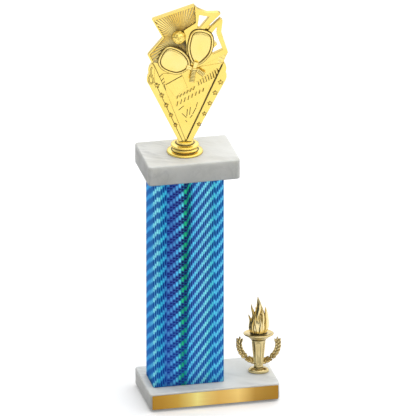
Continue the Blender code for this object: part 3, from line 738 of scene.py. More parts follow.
def hoop(bm, radius, height, thickness, steps=64, flattening=1.0):
    """A round wire lying flat about Z."""
    path = []
    for step in range(steps):
        turn = math.tau * step / steps
        path.append(Vector((radius * math.cos(turn), radius * math.sin(turn) * flattening, height)))
    sweep(bm, path, [thickness] * steps, 8, flat=(0, 0, 1), closed=True)


def rounded_profile(points, steps=5):
    """Profile points on a smooth curve; a corner stands where None follows its point."""
    stretches, current = [], []
    for point in points:
        if point is None:
            stretches.append(current)
            current = [current[-1]]
        else:
            current.append(point)
    stretches.append(current)
    profile = []
    for stretch in stretches:
        curve = smooth_path(stretch, steps if len(stretch) > 2 else 1)
        profile += [tuple(point) for point in curve[1 if profile else 0:]]
    return profile


def inside_spans(polygon, centre, angle):
    """The stretches of a ray from the centre that lie inside a polygon, as (start, end) distances."""
    direction = Vector((math.cos(angle), math.sin(angle)))
    crossings = []
    for index, corner in enumerate(polygon):
        start = Vector(polygon[index - 1]) - centre
        edge = Vector(corner) - centre - start
        across = direction.x * edge.y - direction.y * edge.x
        if abs(across) < 1e-9:
            continue
        distance = (start.x * edge.y - start.y * edge.x) / across
        along = (start.x * direction.y - start.y * direction.x) / across
        if distance > 0 and 0 <= along < 1:
            crossings.append(distance)
    crossings.sort()
    if len(crossings) % 2:
        crossings.insert(0, 0.0)
    return list(zip(crossings[::2], crossings[1::2]))


# ------------------------------------------------------- base, column and cap


def rounded_rectangle(width, depth, radius, steps):
    """Points from the middle of the back, counter-clockwise seen from above."""
    points = [Vector((0, depth / 2))]
    for quarter in range(4):
        side_x = -1 if quarter in (0, 1) else 1
        side_y = 1 if quarter in (0, 3) else -1
        centre = Vector((side_x * (width / 2 - radius), side_y * (depth / 2 - radius)))
        for step in range(steps + 1):
            angle = math.pi / 2 * (1 + quarter + step / steps)
            points.append(centre + radius * Vector((math.cos(angle), math.sin(angle))))
    return points


def drill_out(slab, holes):
    """Takes round upright holes from a slab, given as x, y, radius, bottom and top."""
    drills = []
    for x, y, radius, bottom, top in holes:
        tool = bmesh.new()
        bmesh.ops.create_cone(
            tool, cap_ends=True, segments=64, radius1=radius, radius2=radius, depth=top - bottom,
            matrix=Matrix.Translation((x, y, (bottom + top) / 2)),
        )
        drill = to_object("drill", tool)
        slab.modifiers.new("hole", "BOOLEAN").object = drill
        drills.append(drill)
    graph = bpy.context.evaluated_depsgraph_get()
    drilled = bpy.data.meshes.new_from_object(slab.evaluated_get(graph))
    slab.modifiers.clear()
    slab.data = drilled
    for drill in drills:
        bpy.data.objects.remove(drill)
    drilled.set_sharp_from_angle(angle=math.radians(40))


def marble_slab(node, material, holes):
    """A slab with rounded corners and edges, and its holes."""
    size, place = seat(node)
    steps = 5
    bm = bmesh.new()
    rings = []
    for end, side in ((0, -1), (1, 1)):
        for step in range(steps + 1):
            turn = math.pi / 2 * (step if side > 0 else steps - step) / steps
            inset = SLAB_EDGE * (1 - math.cos(turn))
            height = size.z * end - side * SLAB_EDGE * (1 - math.sin(turn))
            loop = rounded_rectangle(size.x - 2 * inset, size.y - 2 * inset, SLAB_CORNER - inset, 6)
            rings.append([bm.verts.new((point.x, point.y, height)) for point in loop])
    bridge(bm, rings)
    bm.faces.new(rings[0])
    bm.faces.new(rings[-1])
    drill_out(piece(node + "_slab", bm, place, material, [node]), holes)


def column_film(material):
    """The printed film round the tube, its free end lapped over its start at the back."""
    size, place = seat("column_wrap")
    outer = rounded_rectangle(size.x, size.y, FILM_CORNER, 8)
    inner = rounded_rectangle(
        size.x - 2 * FILM_THICKNESS, size.y - 2 * FILM_THICKNESS, FILM_INNER_CORNER, 8,
    )
    end = outer[0]
    outer += [end, end + Vector((-FILM_LAP * 0.3, FILM_LIFT)), end + Vector((-FILM_LAP, FILM_LIFT))]
    inner += [inner[0], end + Vector((-FILM_LAP * 0.3, FILM_LIFT / 4))]
    inner += [end + Vector((-FILM_LAP, FILM_LIFT / 4))]
    far_left = Vector((-size.x, -size.y))
    front_left = min(range(len(outer)), key=lambda index: (outer[index] - far_left).length)
    lengths = [0.0]
    for here, after in zip(outer, outer[1:]):
        lengths.append(lengths[-1] + math.hypot(after.x - here.x, (after.y - here.y) * SIDE_SHRINK))
    bm = bmesh.new()
    girth = bm.loops.layers.uv.new("girth")
    rows = 24
    heights = [size.z * row / rows for row in range(rows + 1)]
    columns = []
    for wide, narrow in zip(outer, inner):
        out = [bm.verts.new((wide.x, wide.y, z)) for z in heights]
        back = [bm.verts.new((narrow.x, narrow.y, z)) for z in reversed(heights)]
        columns.append(out + back)
    for index, (here, after) in enumerate(zip(columns, columns[1:])):
        for row in range(len(here)):
            face = bm.faces.new([here[row - 1], after[row - 1], after[row], here[row]])
            for loop in face.loops:
                at = index + (loop.vert in after)
                loop[girth].uv = ((lengths[at] - lengths[front_left]) / MM, loop.vert.co.z / MM)
    bm.faces.new(columns[0])
    bm.faces.new(list(reversed(columns[-1])))
    film = piece("column_film", bm, place, material, ["column_wrap"])
    film.visible_glossy = False


def sheet_plate(name, node, material, radius, edge, trim=0.0):
    """A thin upright sheet with small round corners and a soft edge, trimmed a little at both ends."""
    low, high = corners(node)
    size = high - low
    middle = (low + high) / 2
    loop = rounded_rectangle(size.x - 2 * trim, size.z, radius, 5)[1:]
    bm = bmesh.new()
    plate(bm, [[(point.x, point.y) for point in loop]], -size.y / 2, size.y / 2)
    piece(name, bm, Matrix.Translation(middle), material, [node], bevel=edge, segments=3)


def felt_pads(material):
    """Discs of felt with a slightly fuzzy, rounded edge."""
    for side in ("front_left", "front_right", "rear_left", "rear_right"):
        node = "foot_pad_" + side
        size, place = seat(node)
        radius, height = size.x / 2, size.z
        chance = random.Random(node)
        profile = [
            (0, 0), (radius * 0.5, 0), (radius - 0.3 * MM, 0), (radius - 0.05 * MM, height * 0.25),
            (radius - 0.02 * MM, height * 0.6), (radius - 0.35 * MM, height), (radius * 0.5, height),
            (0, height),
        ]
        bm = bmesh.new()
        turned(bm, profile, 72, dent=lambda angle, z: chance.uniform(0, FELT_FUZZ))
        piece("felt_" + side, bm, place, material, [node], sharp=60)


# ------------------------------------------------------------------- topper


def topper_foot(place, gold, deep):
    """Two dished discs, one on the other, hollow underneath, with rings of painted shade on the steps
    between them.
    """
    outside = [
        (18.3, 0), (18.4, 0.5), (18.3, 1.2), (17.8, 1.8), (16.6, 2.1), (14.2, 2.4), (12.6, 3.1),
        (11.5, 4.3), (11.2, 5.2), (11.9, 6.0), (13.5, 6.6), (14.3, 7.3), (14.4, 7.9), (14.0, 8.6),
        (12.9, 8.9), (10.8, 9.0), (9.5, 9.6), (8.9, 10.7), (8.7, 11.6), (8.2, 12.0),
    ]
    hollow = [(0, 3.5), (9.6, 3.5), (14.5, 1.7), (16.6, 0.9), (16.8, 0), None]
    profile = rounded_profile(hollow + outside)
    profile.append((0, 12.0))
    bm = bmesh.new()
    turned(bm, profile, 128)
    piece("topper_foot_shell", bm, place, gold, ["topper_foot"])
    bm = bmesh.new()
    # Dark rings of painted shade on the risers of the steps
    for radius, height, thickness in ((11.35, 5.3, 0.55), (13.6, 2.75, 0.45), (9.35, 10.0, 0.5)):
        hoop(bm, radius, height, thickness, 96)
    piece("topper_foot_painted_shade_rings", bm, place, deep, sharp=60)


def plaque_body(place, gold):
    """Back plate of the relief with its two windows, and the raised borders and wings."""
    under = PLAQUE_FLOOR + OVERLAP
    windows = [STAR_WINDOW, FRAME_WINDOW]
    # Outline and its holes, front, back, edge in mm with its segments, and the nodes replaced
    layers = (
        ("plaque_plate", [PLAQUE_OUTLINE] + windows, PLAQUE_FLOOR, PLAQUE_BACK, 0.3, 2, ["topper_plaque"]),
        ("burst_rim", [BURST_RIM], PLAQUE_FACE + 0.3, under, 0.35, 2, ()),
        ("star_plate", [STAR_PLATE] + windows, PLAQUE_FACE, under, 0.5, 3, ()),
        ("wing_right", [RIGHT_WING], RIGHT_WING_FACE, under, 0.4, 2, ()),
        ("wing_left", [LEFT_WING], PLAQUE_FACE, under, 0.4, 2, ()),
    )
    for name, loops, front, back, edge, segments, nodes in layers:
        bm = bmesh.new()
        plate(bm, loops, front, back)
        piece(name, bm, place, gold, nodes, edge * MM, segments)
    bm = bmesh.new()
    slope(bm, LEFT_BEVEL, (1.75, 1.75, 1.75, 0.55, 0.55), PLAQUE_FLOOR)
    piece("wing_left_bevel", bm, place, gold, bevel=0.15 * MM)


def grounds(place, shade, deep):
    """Matt background of the rays, in a darker gold that is partly painted shade, and lines of painted
    shade beside the wings.
    """
    bm = bmesh.new()
    plate(bm, [BURST_PANEL], PLAQUE_FLOOR - 0.08, PLAQUE_FLOOR + 0.1)
    # The ground's darker gold is partly a matt finish and partly painted shade
    piece("ribbed_grounds", bm, place, shade)
    bm = bmesh.new()
    # Dark strips of painted shade beside the wings' walls
    for start, end, width in WING_SHADE_LINES:
        ridge(bm, start, end, (width, width), (0.16, 0.16), WING_SHADE_LINE_LEVEL, 0.3)
    piece("wing_painted_shade_lines", bm, place, deep, sharp=15)


def burst_rays(place, gold):
    """Ridges that spread from behind the ball to the panel's borders."""
    bm = bmesh.new()
    fields = (
        (BURST_PANEL, PLAQUE_FLOOR, 0.9, 3.0, 0.8),
        (STRIPED_STEP, PLAQUE_FLOOR, 0.3, 0.0, 0.1),
    )
    for polygon, floor, height, keep_out, margin in fields:
        for step in range(int(math.tau / RAY_STEP)):
            angle = step * RAY_STEP
            direction = Vector((math.cos(angle), math.sin(angle)))
            for near, far in inside_spans(polygon, BURST_CENTRE, angle):
                near, far = max(near, keep_out) + margin, far - margin
                if far - near < 0.8:
                    continue
                start, end = (BURST_CENTRE + direction * reach for reach in (near, far))
                widths = [reach * RAY_STEP * 0.72 for reach in (near, far)]
                heights = [min(height, 0.25 + 0.03 * near), height]
                ridge(bm, start, end, widths, heights, floor)
    piece("burst_rays", bm, place, gold, sharp=20)


def wing_stars(place, gold, shade):
    """Five stars down each wing, smaller towards the bottom, each in an outline of painted shade."""
    rows = (
        ("stars_left", Vector((-28.4, 74.4)), Vector((-9.8, 30.6)), PLAQUE_FACE, 0.55),
        ("stars_right", Vector((35.8, 76.8)), Vector((14.1, 31.4)), RIGHT_WING_FACE, 0.85),
    )
    for name, top, bottom, floor, edge in rows:
        body, outline = bmesh.new(), bmesh.new()
        for index in range(5):
            centre = top.lerp(bottom, index / 4)
            radius = 2.7 - 0.14 * index
            star(outline, centre, radius + edge, 0.3, floor, 0.56)
            star(body, centre, radius, 1.1, floor - 0.1)
        piece(name, body, place, gold, sharp=15)
        piece(name + "_painted_shade_outline", outline, place, shade, sharp=15)


def shield_relief(place, gold, shade):
    """Floor of the shield with a folded court, its lines, and rows of plain slanted bars; the court lines,
    the chevrons and a stroke beside each bar are dark strokes of painted shade.
    """
    bm = bmesh.new()
    outline = [(-32, 99), (-18.6, 65.8), (0.4, 14), (1.6, 14), (39, 97.5), (12, 93)]
    plate(bm, [outline], SHIELD_FLOOR, PLAQUE_FLOOR + OVERLAP)
    for panel in COURT_PANELS:
        plate(bm, [panel], SHIELD_FLOOR - 0.55, SHIELD_FLOOR + 0.1)
    piece("shield_floor", bm, place, gold, bevel=0.2 * MM)

    marks = [(start, end, 0.75) for start, end in COURT_LINES + CHEVRON]
    body = bmesh.new()
    for first, last, count, short, tall, lean in BAR_ROWS:
        first, last = Vector(first), Vector(last)
        for index in range(count):
            share = index / (count - 1)
            half = Vector((lean, 1)).normalized() * (short + (tall - short) * share) / 2
            centre = first.lerp(last, share)
            ridge(body, centre - half, centre + half, (1.3, 1.3), (0.5, 0.5), SHIELD_FLOOR - 0.1, 0.7)
            aside = Vector((1.05, 0))
            marks.append((centre - half + aside, centre + half + aside, 0.6))
    piece("shield_bars", body, place, gold, sharp=15)
    # Dark strokes of painted shade, beside the bars and along the court's lines and the chevrons
    grooves = bmesh.new()
    for start, end, width in marks:
        ridge(grooves, start, end, (width, width), (0.3, 0.3), SHIELD_FLOOR, 0.2)
    piece("shield_bar_painted_shade_strokes", grooves, place, shade, sharp=15)


def ribbon(place, gold, shade):
    """A small scroll on the left wing's shoulder, in an outline of painted shade."""
    scroll, outline = bmesh.new(), bmesh.new()
    for points, closed in ((RIBBON_LOOP, True), (RIBBON_TAIL, False)):
        flat = smooth_path(points, 8, closed)
        path = [Vector((point.x, PLAQUE_FACE - 0.1, point.y)) for point in flat]
        sweep(scroll, path, [0.45] * len(path), closed=closed, squash=1.1)
        sweep(outline, path, [0.85] * len(path), closed=closed, squash=0.32)
    piece("ribbon_scroll", scroll, place, gold, sharp=60)
    piece("ribbon_painted_shade_outline", outline, place, shade, sharp=60)


def back_cover(place, gold):
    """Cover on the back of the relief, with a raised border and four sunk bosses."""
    cover = [
        (5, 14.5), (38.8, 80), (37.5, 98), (24, 105), (23.5, 130), (10, 137), (7.5, 158.4),
        (-30.8, 144.4), (-20.2, 126.2), (-35.4, 107.8), (-31, 98), (-34.8, 77), (-5, 14.5),
    ]
    field = [
        (3.8, 18.5), (36, 80.2), (35, 96.2), (21.6, 103), (21.2, 128.4), (7.8, 135.4),
        (5.2, 154.9), (-27.4, 143), (-17.3, 126.1), (-32.2, 107.4), (-28.3, 97.6),
        (-32, 77.4), (-3.8, 18.5),
    ]
    bm = bmesh.new()
    plate(bm, [cover], PLAQUE_BACK + 0.3, PLAQUE_BACK + 1.9)
    plate(bm, [cover, field], PLAQUE_BACK + 1.8, PLAQUE_BACK + 2.7)
    piece("back_cover", bm, place, gold, ["topper_back_cover"], bevel=0.35 * MM)
    boss = [(0, 1.7), (3.2, 1.7), (3.2, 2.3), (2.7, 2.5), (1.7, 2.5), (1.5, 2.1), (0, 2.1)]
    lying = Matrix.Rotation(-math.pi / 2, 4, "X")
    bm = bmesh.new()
    for x, z in ((2, 40), (2, 84), (-8, 118), (-18, 138)):
        turned(bm, boss, 40, place=Matrix.Translation((x, PLAQUE_BACK, z)) @ lying)
    piece("back_bosses", bm, place, gold)


def paddle_blade(bm, face, base):
    """Edge guard, groove and slightly crowned face of a paddle."""
    loop = smooth_path(face, 10, closed=True)
    middle = sum(loop, Vector((0, 0))) / len(loop)
    section = [
        (2.3, 0), (2.3, 1.1), (2.1, 1.7), (1.6, 2.15), (1.1, 2.15), (0.65, 1.75), (0.5, 1.1),
        (0.42, 0.35), (-0.1, 0.35), (-0.2, 1.0), (-0.45, 1.45), (-0.9, 1.7),
    ]
    rings = []
    for distance, height in section:
        moved = offset_loop(loop, distance)
        rings.append([bm.verts.new((point.x, base - height, point.y)) for point in moved])
    crown = offset_loop(loop, -0.9)
    for share in (0.15, 0.35, 0.6, 0.82):
        height = 1.7 + 0.9 * math.sin(share * math.pi / 2)
        ring = [point.lerp(middle, share) for point in crown]
        rings.append([bm.verts.new((point.x, base - height, point.y)) for point in ring])
    bridge(bm, rings)
    top = bm.verts.new((middle.x, base - 2.6, middle.y))
    for index in range(len(loop)):
        bm.faces.new([rings[-1][index - 1], rings[-1][index], top])
    bm.faces.new(rings[0])


def paddle_handle(bm, core, neck, grip_start, grip_end, base, depth):
    """Neck, collar, butt and wound grip of a paddle; core, in painted shade, shows dark between the
    windings.
    """
    neck, grip_start, grip_end = Vector(neck), Vector(grip_start), Vector(grip_end)
    along = (grip_end - grip_start).normalized()

    def at(point, height=depth):
        return Vector((point.x, base - height, point.y))

    stations = smooth_path([at(neck), at(neck.lerp(grip_start, 0.5)), at(grip_start)], 6)
    count = len(stations)
    sweep(bm, stations, [2.6 - 0.9 * index / count for index in range(count)], 14, squash=0.62)
    length = (grip_end - grip_start).length
    steps = 84
    path, radii = [], []
    for step in range(steps + 1):
        share = step / steps
        path.append(at(grip_start + along * length * share))
        wound = (share * length / GRIP_PITCH) % 1
        radii.append(2.05 + 0.45 * share + 0.34 * math.sin(math.pi * wound))
    sweep(bm, path, radii, 18, squash=0.72)
    ends = [at(grip_start), at(grip_end)]
    # The dark core is painted shade between the windings
    sweep(core, ends, [2.24, 2.68], 18, squash=0.72)
    for middle, radius in ((grip_start, 2.7), (grip_end, 3.0)):
        ends = [at(middle + along * shift) for shift in (-0.5, -0.3, 0.3, 0.5)]
        sweep(bm, ends, [radius * 0.8, radius, radius, radius * 0.8], 18, squash=0.68)


def paddle_painted_shade_lines(bm, face, base):
    """Dark lines of painted shade inside and outside a paddle's guard."""
    loop = smooth_path(face, 10, closed=True)
    for distance, depth, radius in ((0.15, 0.85, 0.6), (2.5, 0.1, 0.55)):
        path = [Vector((point.x, base - depth, point.y)) for point in offset_loop(loop, distance)]
        sweep(bm, path, [radius] * len(path), 8, closed=True)


def paddles(place, gold, shade):
    """Two crossed paddles, the right one lying over the left one's handle."""
    lying = PLAQUE_FACE - 0.3
    dark = bmesh.new()
    for side, face, neck, grip_start, grip_end, depth in (
        ("left", LEFT_FACE, (1.5, 94.8), (12.3, 91), (18.8, 86), 1.3),
        ("right", RIGHT_FACE, (11.4, 100.6), (9.1, 93.6), (6.5, 79.4), 3.1),
    ):
        bm = bmesh.new()
        paddle_blade(bm, face, lying)
        paddle_handle(bm, dark, neck, grip_start, grip_end, lying, depth)
        paddle_painted_shade_lines(dark, face, lying)
        piece("paddle_" + side, bm, place, gold, ["topper_paddle_" + side], sharp=50)
    piece("paddle_painted_shade_lines", dark, place, shade, sharp=60)


def ball(place, gold):
    """A hollow-looking plastic ball with round holes, sunk a little in the panel."""
    bm = bmesh.new()
    bmesh.ops.create_uvsphere(bm, u_segments=120, v_segments=72, radius=BALL_RADIUS)
    holes = []
    for index in range(BALL_HOLES):
        height = 1 - 2 * (index + 0.5) / BALL_HOLES
        reach = math.sqrt(1 - height * height)
        turn = index * math.pi * (3 - math.sqrt(5))
        holes.append(Vector((reach * math.cos(turn), reach * math.sin(turn), height)))
    for vert in bm.verts:
        direction = vert.co.normalized()
        nearest = min(direction.angle(hole) for hole in holes)
        inside = max(0.0, min(1.0, (BALL_HOLE_ANGLE - nearest) / BALL_HOLE_EDGE))
        vert.co -= direction * BALL_HOLE_DEPTH * inside * inside * (3 - 2 * inside)
    flat_back = PLAQUE_FLOOR - 0.1
    centre_y = flat_back - BALL_RADIUS * math.sin(BALL_CUT)
    bm.transform(Matrix.Translation((BALL_CENTRE.x, centre_y, BALL_CENTRE.y)))
    cut = bmesh.ops.bisect_plane(
        bm, geom=bm.verts[:] + bm.edges[:] + bm.faces[:], plane_co=(0, flat_back, 0),
        plane_no=(0, 1, 0), clear_outer=True,
    )
    rim = [item for item in cut["geom_cut"] if isinstance(item, bmesh.types.BMEdge)]
    bmesh.ops.edgeloop_fill(bm, edges=rim)
    piece("holed_ball", bm, place, gold, ["topper_ball"], sharp=60)


# -------------------------------------------------------------------- torch


def torch_stand(place, gold, deep):
    """Domed foot and a tapering stem with arched hollow panels."""
    foot = [
        (0, 0), None, (10.3, 0), None, (10.55, 0.4), (10.6, 1.5), (10.2, 2.7), (9.0, 3.3), (7.2, 3.4),
        (5.6, 3.6), (4.6, 4.1), None,
        (3.9, 4.4), (4.0, 5.0), (4.7, 5.3), (4.9, 5.8), (4.6, 6.4), None,
    ]
    low, high = STEM_RADII

    def stem_radius(height):
        return low + (high - low) * (height - STEM_START) / (STEM_TOP - STEM_START)

    rows = 46
    heights = [STEM_START + (STEM_TOP - STEM_START) * row / rows for row in range(1, rows + 1)]
    profile = rounded_profile(foot) + [(stem_radius(height), height) for height in heights]
    profile += [(7.5, 34.8), (7.55, 35.4), (7.2, 35.7), (0, 35.7)]

    def panel(angle, height):
        """How deep an arched panel is sunk at this point of the stem."""
        if not STEM_BOTTOM + 1.5 < height < STEM_TOP - 0.6:
            return 0.0
        turn = (angle + math.pi / 2) * STEM_PANELS / math.tau
        side = 2 * abs(turn - round(turn))
        half = math.pi / STEM_PANELS * stem_radius(height)
        arch = half * math.sqrt(max(0.0, 1 - min(1.0, side / PANEL_SHARE) ** 2))
        top_gap = (STEM_TOP - 0.8 - half + arch) - height
        bottom_gap = height - (STEM_BOTTOM + 2.6 + half - arch)
        ends = min(top_gap, bottom_gap) / PANEL_SLOPE
        edge = max(0.0, min(1.0, (PANEL_SHARE - side) / 0.2, ends))
        return PANEL_DEPTH * edge * edge * (3 - 2 * edge)

    bm = bmesh.new()
    turned(bm, profile, 144, TORCH_FLATTENING, panel)
    piece("torch_stem_and_foot", bm, place, gold, ["torch_stand"])
    # Dark hoops of painted shade at the stem's neck and under its top
    dark = bmesh.new()
    for radius, height, width in ((4.2, 4.7, 0.55), (7.3, 35.55, 0.45)):
        hoop(dark, radius, height, width, flattening=TORCH_FLATTENING)
    piece("torch_stem_painted_shade_rings", dark, place, deep, sharp=60)


def torch_cup(place, gold, deep):
    """Saucer with a rolled rim."""
    lip = CUP_LIP
    outline = [
        (7.8, 36), None, (8.4, 36.3), (9.7, 37.2), (11.3, lip - 3.0), (12.2, lip - 2.4), (12.6, lip - 1.9),
        (13.9, lip - 1.4), (15.1, lip - 0.7), (15.5, lip), (15.2, lip + 0.6), (14.4, lip + 0.9),
        (13.2, lip + 0.65), (11.4, lip + 0.3), (9.6, lip + 0.2), (8.8, lip + 0.45), (8.3, lip + 0.5), None,
        (6, lip + 0.5), None, (5.6, lip + 0.2), None,
    ]
    profile = [(0, 36)] + rounded_profile(outline + [(5.4, lip - 2)]) + [(0, lip - 2)]
    bm = bmesh.new()
    turned(bm, profile, 128, TORCH_FLATTENING)
    piece("torch_saucer", bm, place, gold, ["torch_cup"])
    # A dark hoop of painted shade under the lip
    dark = bmesh.new()
    hoop(dark, 8.5, lip + 0.5, 0.5, flattening=TORCH_FLATTENING)
    piece("torch_saucer_painted_shade_ring", dark, place, deep, sharp=60)


# Tongues of the flame as (middle, half width, height) from tip to root, then their depth
TONGUES = [
    ([(-0.8, 0.2, 82.5), (-0.3, 1.4, 78.5), (0.3, 2.4, 74.5), (0.5, 3.0, 70.5), (-0.4, 3.3, 66),
      (-1.3, 3.0, 61.5), (-0.7, 2.9, 57), (0.6, 3.2, 52), (0.9, 3.0, 47.5), (0.2, 2.6, 43.2)], 1.6),
    ([(-7.3, 0.2, 74), (-7.0, 0.9, 70.5), (-5.9, 1.4, 66.5), (-4.9, 1.8, 62.5), (-5.3, 2.1, 58),
      (-6.7, 2.2, 53), (-6.6, 2.2, 48), (-5.4, 2.0, 43.2)], 1.8),
    ([(-10.3, 0.2, 62.7), (-9.4, 0.9, 60), (-8.3, 1.3, 56.5), (-8.3, 1.6, 52.5), (-8.7, 1.6, 48.5),
      (-7.2, 1.4, 43.2)], 0.8),
    ([(7.0, 0.2, 71.2), (7.2, 1.1, 68), (7.7, 1.7, 63.5), (8.1, 2.0, 58.5), (8.3, 2.2, 53), (7.8, 2.2, 48),
      (6.0, 2.0, 43.2)], 1.0),
    ([(3.0, 0.2, 73), (3.5, 1.0, 69), (4.3, 1.6, 64), (4.6, 1.9, 58.5), (4.1, 2.0, 53), (4.4, 2.0, 48),
      (3.4, 1.8, 43.2)], 2.7),
    ([(-3.1, 0.2, 71), (-2.4, 0.9, 67.5), (-3.0, 1.4, 63), (-3.9, 1.7, 58), (-3.3, 1.9, 53),
      (-2.2, 2.0, 48), (-1.8, 1.8, 43.2)], 3.0),
    ([(0.9, 0.2, 67), (0.5, 1.0, 63), (1.5, 1.5, 58.5), (2.2, 1.8, 53.5), (1.5, 1.9, 48.5),
      (0.9, 1.7, 43.2)], 3.9),
]


def flame(place, gold):
    """Twisting creased tongues, front and back, round a rounded core."""
    bm = bmesh.new()
    core = [(0, CUP_LIP - 1.6), (4.8, CUP_LIP - 1.6), (4.8, FLAME_BASE), (7.0, FLAME_BASE)]
    core += smooth_path([(7.0, FLAME_BASE), (7.6, 47), (7.4, 52), (5.6, 58), (3.2, 63)], 5)[1:]
    turned(bm, [tuple(point) for point in core] + [(0, 66)], 60, TORCH_FLATTENING)
    for side in (-1, 1):
        for stations, depth in TONGUES:
            rings = []
            for middle, half, height in smooth_path(stations, 5):
                slim = max(0.0, min(1.0, (height - 50) / 32))
                centre = depth * (1 - 0.85 * slim)
                ring = []
                for corner in range(16):
                    turn = math.tau * corner / 16
                    out = math.sin(turn)
                    crease = 1.35 * out * (1 - 0.45 * abs(math.cos(turn)))
                    ring.append(bm.verts.new((
                        middle + half * math.cos(turn), side * (centre + half ** 0.85 * crease), height,
                    )))
                rings.append(ring if side > 0 else list(reversed(ring)))
            bridge(bm, rings)
            bm.faces.new(rings[0])
            bm.faces.new(list(reversed(rings[-1])))
    piece("torch_flame_tongues", bm, place, gold, ["torch_flame"], sharp=32)


def leaf(bm, root, along, out, length, width):
    """A pointed leaf with a raised midrib; out is the way its face looks."""
    side = along.cross(out).normalized()
    stations = 7
    rings = []
    for station in range(stations + 1):
        share = station / stations
        half = max(0.06, width / 2 * math.sin(math.pi * share ** 0.75) ** 0.8)
        centre = root + along * length * share + out * (0.9 * math.sin(math.pi * share * 0.8))
        rings.append([
            bm.verts.new(centre + side * half * across + out * rise)
            for across, rise in ((-1, 0), (-0.5, 0.32), (0, 0.62), (0.5, 0.32), (1, 0), (0, -0.35))
        ])
    bridge(bm, rings)
    bm.faces.new(rings[0])
    bm.faces.new(list(reversed(rings[-1])))


def wreath_point(angle):
    """Middle of a branch; near its root it bends back and down behind the stem."""
    near, far = WREATH_ROOT_ANGLES
    back, down = WREATH_ROOT_BEND
    behind = max(0.0, min(1.0, (far - abs(angle)) / (far - near)))
    behind = behind**2 * (3 - 2 * behind)
    height = WREATH_HEIGHT - WREATH_RADIUS * math.cos(angle) - down * behind
    return Vector((WREATH_RADIUS * math.sin(angle), back * behind, height))


def sprig(bm, angle, side, leaves, lengths):
    """Leaves on both faces of a branch at one angle."""
    here = wreath_point(angle)
    along = (wreath_point(angle + side * 0.02) - here).normalized()
    outward = along.cross(Vector((0, side, 0))).normalized()
    for out in (Vector((0, -1, 0)), Vector((0, 1, 0))):
        for (lean, aside, ahead, lift, width), length in zip(leaves, lengths):
            heading = (along + outward * lean).normalized()
            root = here + outward * aside + along * ahead + out * lift
            leaf(bm, root, heading, out, length, width)


def wreath(place, gold):
    """Two laurel branches that meet behind the stem, leaved on both faces."""
    stations, rows = 64, 8
    bm = bmesh.new()
    reach = WREATH_TIP_ANGLE - WREATH_BRANCH_END
    path = [wreath_point(reach * (2 * index / stations - 1)) for index in range(stations + 1)]
    sweep(bm, path, [1.5] * len(path), 10, squash=0.7)
    for side in (-1, 1):
        for index in range(rows):
            share = index / rows
            angle = side * (WREATH_START + (WREATH_TIP_ANGLE - WREATH_ROWS_END) * share)
            sprig(bm, angle, side, WREATH_ROW, [6.0 - 0.6 * share] * 3)
        sprig(bm, side * (WREATH_TIP_ANGLE - WREATH_LAST_LEAVES), side, WREATH_TIP, (6.2, 4.6, 4.6))
    piece("laurel_wreath", bm, place, gold, ["torch_wreath"], sharp=50)


# ------------------------------------------------------------------ assembly


def repaint(material, *nodes):
    """Puts a material on CAD nodes that stay as they are."""
    for name in nodes:
        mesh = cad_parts[name].data
        mesh.materials.clear()
        mesh.materials.append(material)


def ornament_place(middle, node, turn):
    """Matrix from an ornament's millimetres to the scene, on the underside of its lowest node."""
    low, _ = corners(node)
    place = Matrix.Translation((middle.x, middle.y, low.z))
    return place @ Matrix.Rotation(turn, 4, "Z") @ Matrix.Scale(MM, 4)


def build_trophy():
    axis = sum(corners("tie_rod"), Vector()) / 2
    screw = sum(corners("torch_screw"), Vector()) / 2
    base_low, base_high = corners("marble_base")
    cap_low, cap_high = corners("marble_cap")

    # Wide pockets for nut and screw head, and bores that go right through
    base_holes = (
        (axis.x, axis.y, 14 * MM, base_low.z - MM, base_low.z + 10 * MM),
        (axis.x, axis.y, 4 * MM, base_low.z - MM, base_high.z + MM),
        (screw.x, screw.y, 6.5 * MM, base_low.z - MM, base_low.z + 8 * MM),
        (screw.x, screw.y, 2.6 * MM, base_low.z - MM, base_high.z + MM),
    )
    cap_holes = ((axis.x, axis.y, 4 * MM, cap_low.z - MM, cap_high.z + MM),)
    marble_slab("marble_base", marble_material("marble_of_base", (0.31, 0.12, 0.4)), base_holes)
    marble_slab("marble_cap", marble_material("marble_of_cap", (1.7, 0.6, 0.2)), cap_holes)
    felt_pads(felt_material())
    plate_low, plate_high = corners("nameplate")
    sheet = nameplate_material(plate_low.x, plate_high.x)
    sheet_plate(
        "engraving_plate", "nameplate", sheet, 0.6 * MM, 0.2 * MM, NAMEPLATE_TRIM,
    )
    tape = plastic_material("clear_tape", (0.82, 0.82, 0.76), 0.4)
    sheet_plate("adhesive_tape", "nameplate_adhesive", tape, 1.5 * MM, 0.04 * MM)
    column_film(foil_material())

    golds = {name: gold_material(name, *looks) for name, looks in GOLDS.items()}
    bright, paddle = golds["bright_gold"], golds["paddle_gold"]
    deep, satin = golds["painted_shade_gold"], golds["satin_gold"]
    topper = ornament_place(axis, "topper_foot", TOPPER_TURN)
    topper_foot(topper, bright, deep)
    plaque_body(topper, bright)
    grounds(topper, golds["shaded_gold"], deep)
    burst_rays(topper, paddle)
    wing_stars(topper, bright, deep)
    shield_relief(topper, bright, deep)
    ribbon(topper, bright, deep)
    back_cover(topper, bright)
    paddles(topper, paddle, deep)
    ball(topper, bright)

    torch = ornament_place(screw, "torch_stand", TORCH_TURN)
    torch_stand(torch, satin, deep)
    torch_cup(torch, satin, deep)
    flame(torch, golds["pale_gold"])
    wreath(torch, satin)

    repaint(
        steel_material(), "tie_rod", "rod_washer", "rod_lock_washer", "rod_nut", "topper_foot_nut",
        "torch_screw", "torch_washer",
    )
    repaint(plastic_material("white_tube_plastic", (0.78, 0.78, 0.77), 0.45), "column_tube")
    return base_low, base_high


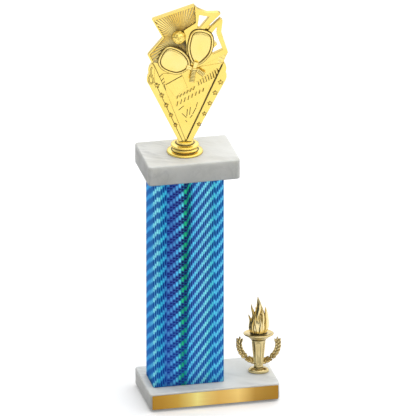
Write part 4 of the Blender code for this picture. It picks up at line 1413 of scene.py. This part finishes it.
def add_floor():
    """A pale floor that the camera and shiny surfaces see, and that adds no light from below."""
    bm = bmesh.new()
    bmesh.ops.create_circle(bm, cap_ends=True, segments=96, radius=FLOOR_RADIUS)
    paint = Paint(
        "pale_floor", Roughness=0.9, Specular_IOR_Level=0.1, Emission_Color=(1, 1, 1, 1),
        Emission_Strength=FLOOR_GLOW,
    )
    soft = paint.noise(paint.place(), 3, 2)
    paint.drive("Base Color", paint.ramp(soft, [(0.3, (0.96, 0.96, 0.96)), (0.7, (0.98, 0.98, 0.98))]))
    floor = to_object("floor", bm)
    floor.data.materials.append(paint.material)
    floor.visible_diffuse = False


def add_light():
    """A light tent with a dark band at its horizon, dimmer on the left, and white when seen directly."""
    world = bpy.data.worlds.new("studio")
    bpy.context.scene.world = world
    world.use_nodes = True
    sky = Nodes(world.node_tree)
    aside, _, up = sky.axes(sky.place("Generated"))
    levels = [((height + 1) / 2, (level, level, level)) for height, level in TENT]
    dimmed = sky.node("ShaderNodeVectorMath", operation="SCALE")
    sky.feed(dimmed.inputs[0], sky.ramp(sky.spread(up, -1.0, 1.0), levels))
    sky.feed(dimmed.inputs["Scale"], sky.spread(aside, *TENT_FADE, TENT_LEFT, 1.0))
    seen = sky.node("ShaderNodeLightPath").outputs["Is Camera Ray"]
    background = world.node_tree.nodes["Background"]
    backdrop = (BACKDROP, BACKDROP, BACKDROP, 1)
    sky.feed(background.inputs["Color"], sky.mix(seen, dimmed.outputs[0], backdrop))
    background.inputs["Strength"].default_value = TENT_STRENGTH
    bpy.context.scene.view_settings.view_transform = "Standard"


def add_camera(base_low, base_high):
    data = bpy.data.cameras.new("camera")
    data.lens = CAMERA_LENS
    data.clip_end = 100
    camera = bpy.data.objects.new("camera", data)
    bpy.context.scene.collection.objects.link(camera)
    level = math.cos(CAMERA_ELEVATION)
    back = Vector((
        math.sin(CAMERA_AZIMUTH) * level, -math.cos(CAMERA_AZIMUTH) * level, math.sin(CAMERA_ELEVATION),
    ))
    turn = (-back).to_track_quat("-Z", "Y")
    right, up = turn @ Vector((1, 0, 0)), turn @ Vector((0, 1, 0))
    middle = (base_low + base_high) / 2
    middle.z = base_low.z
    camera.location = middle + right * AIM_RIGHT + up * AIM_UP + back * CAMERA_DISTANCE
    camera.rotation_euler = turn.to_euler()
    bpy.context.scene.camera = camera


base_low, base_high = build_trophy()
add_floor()
add_light()
add_camera(base_low, base_high)
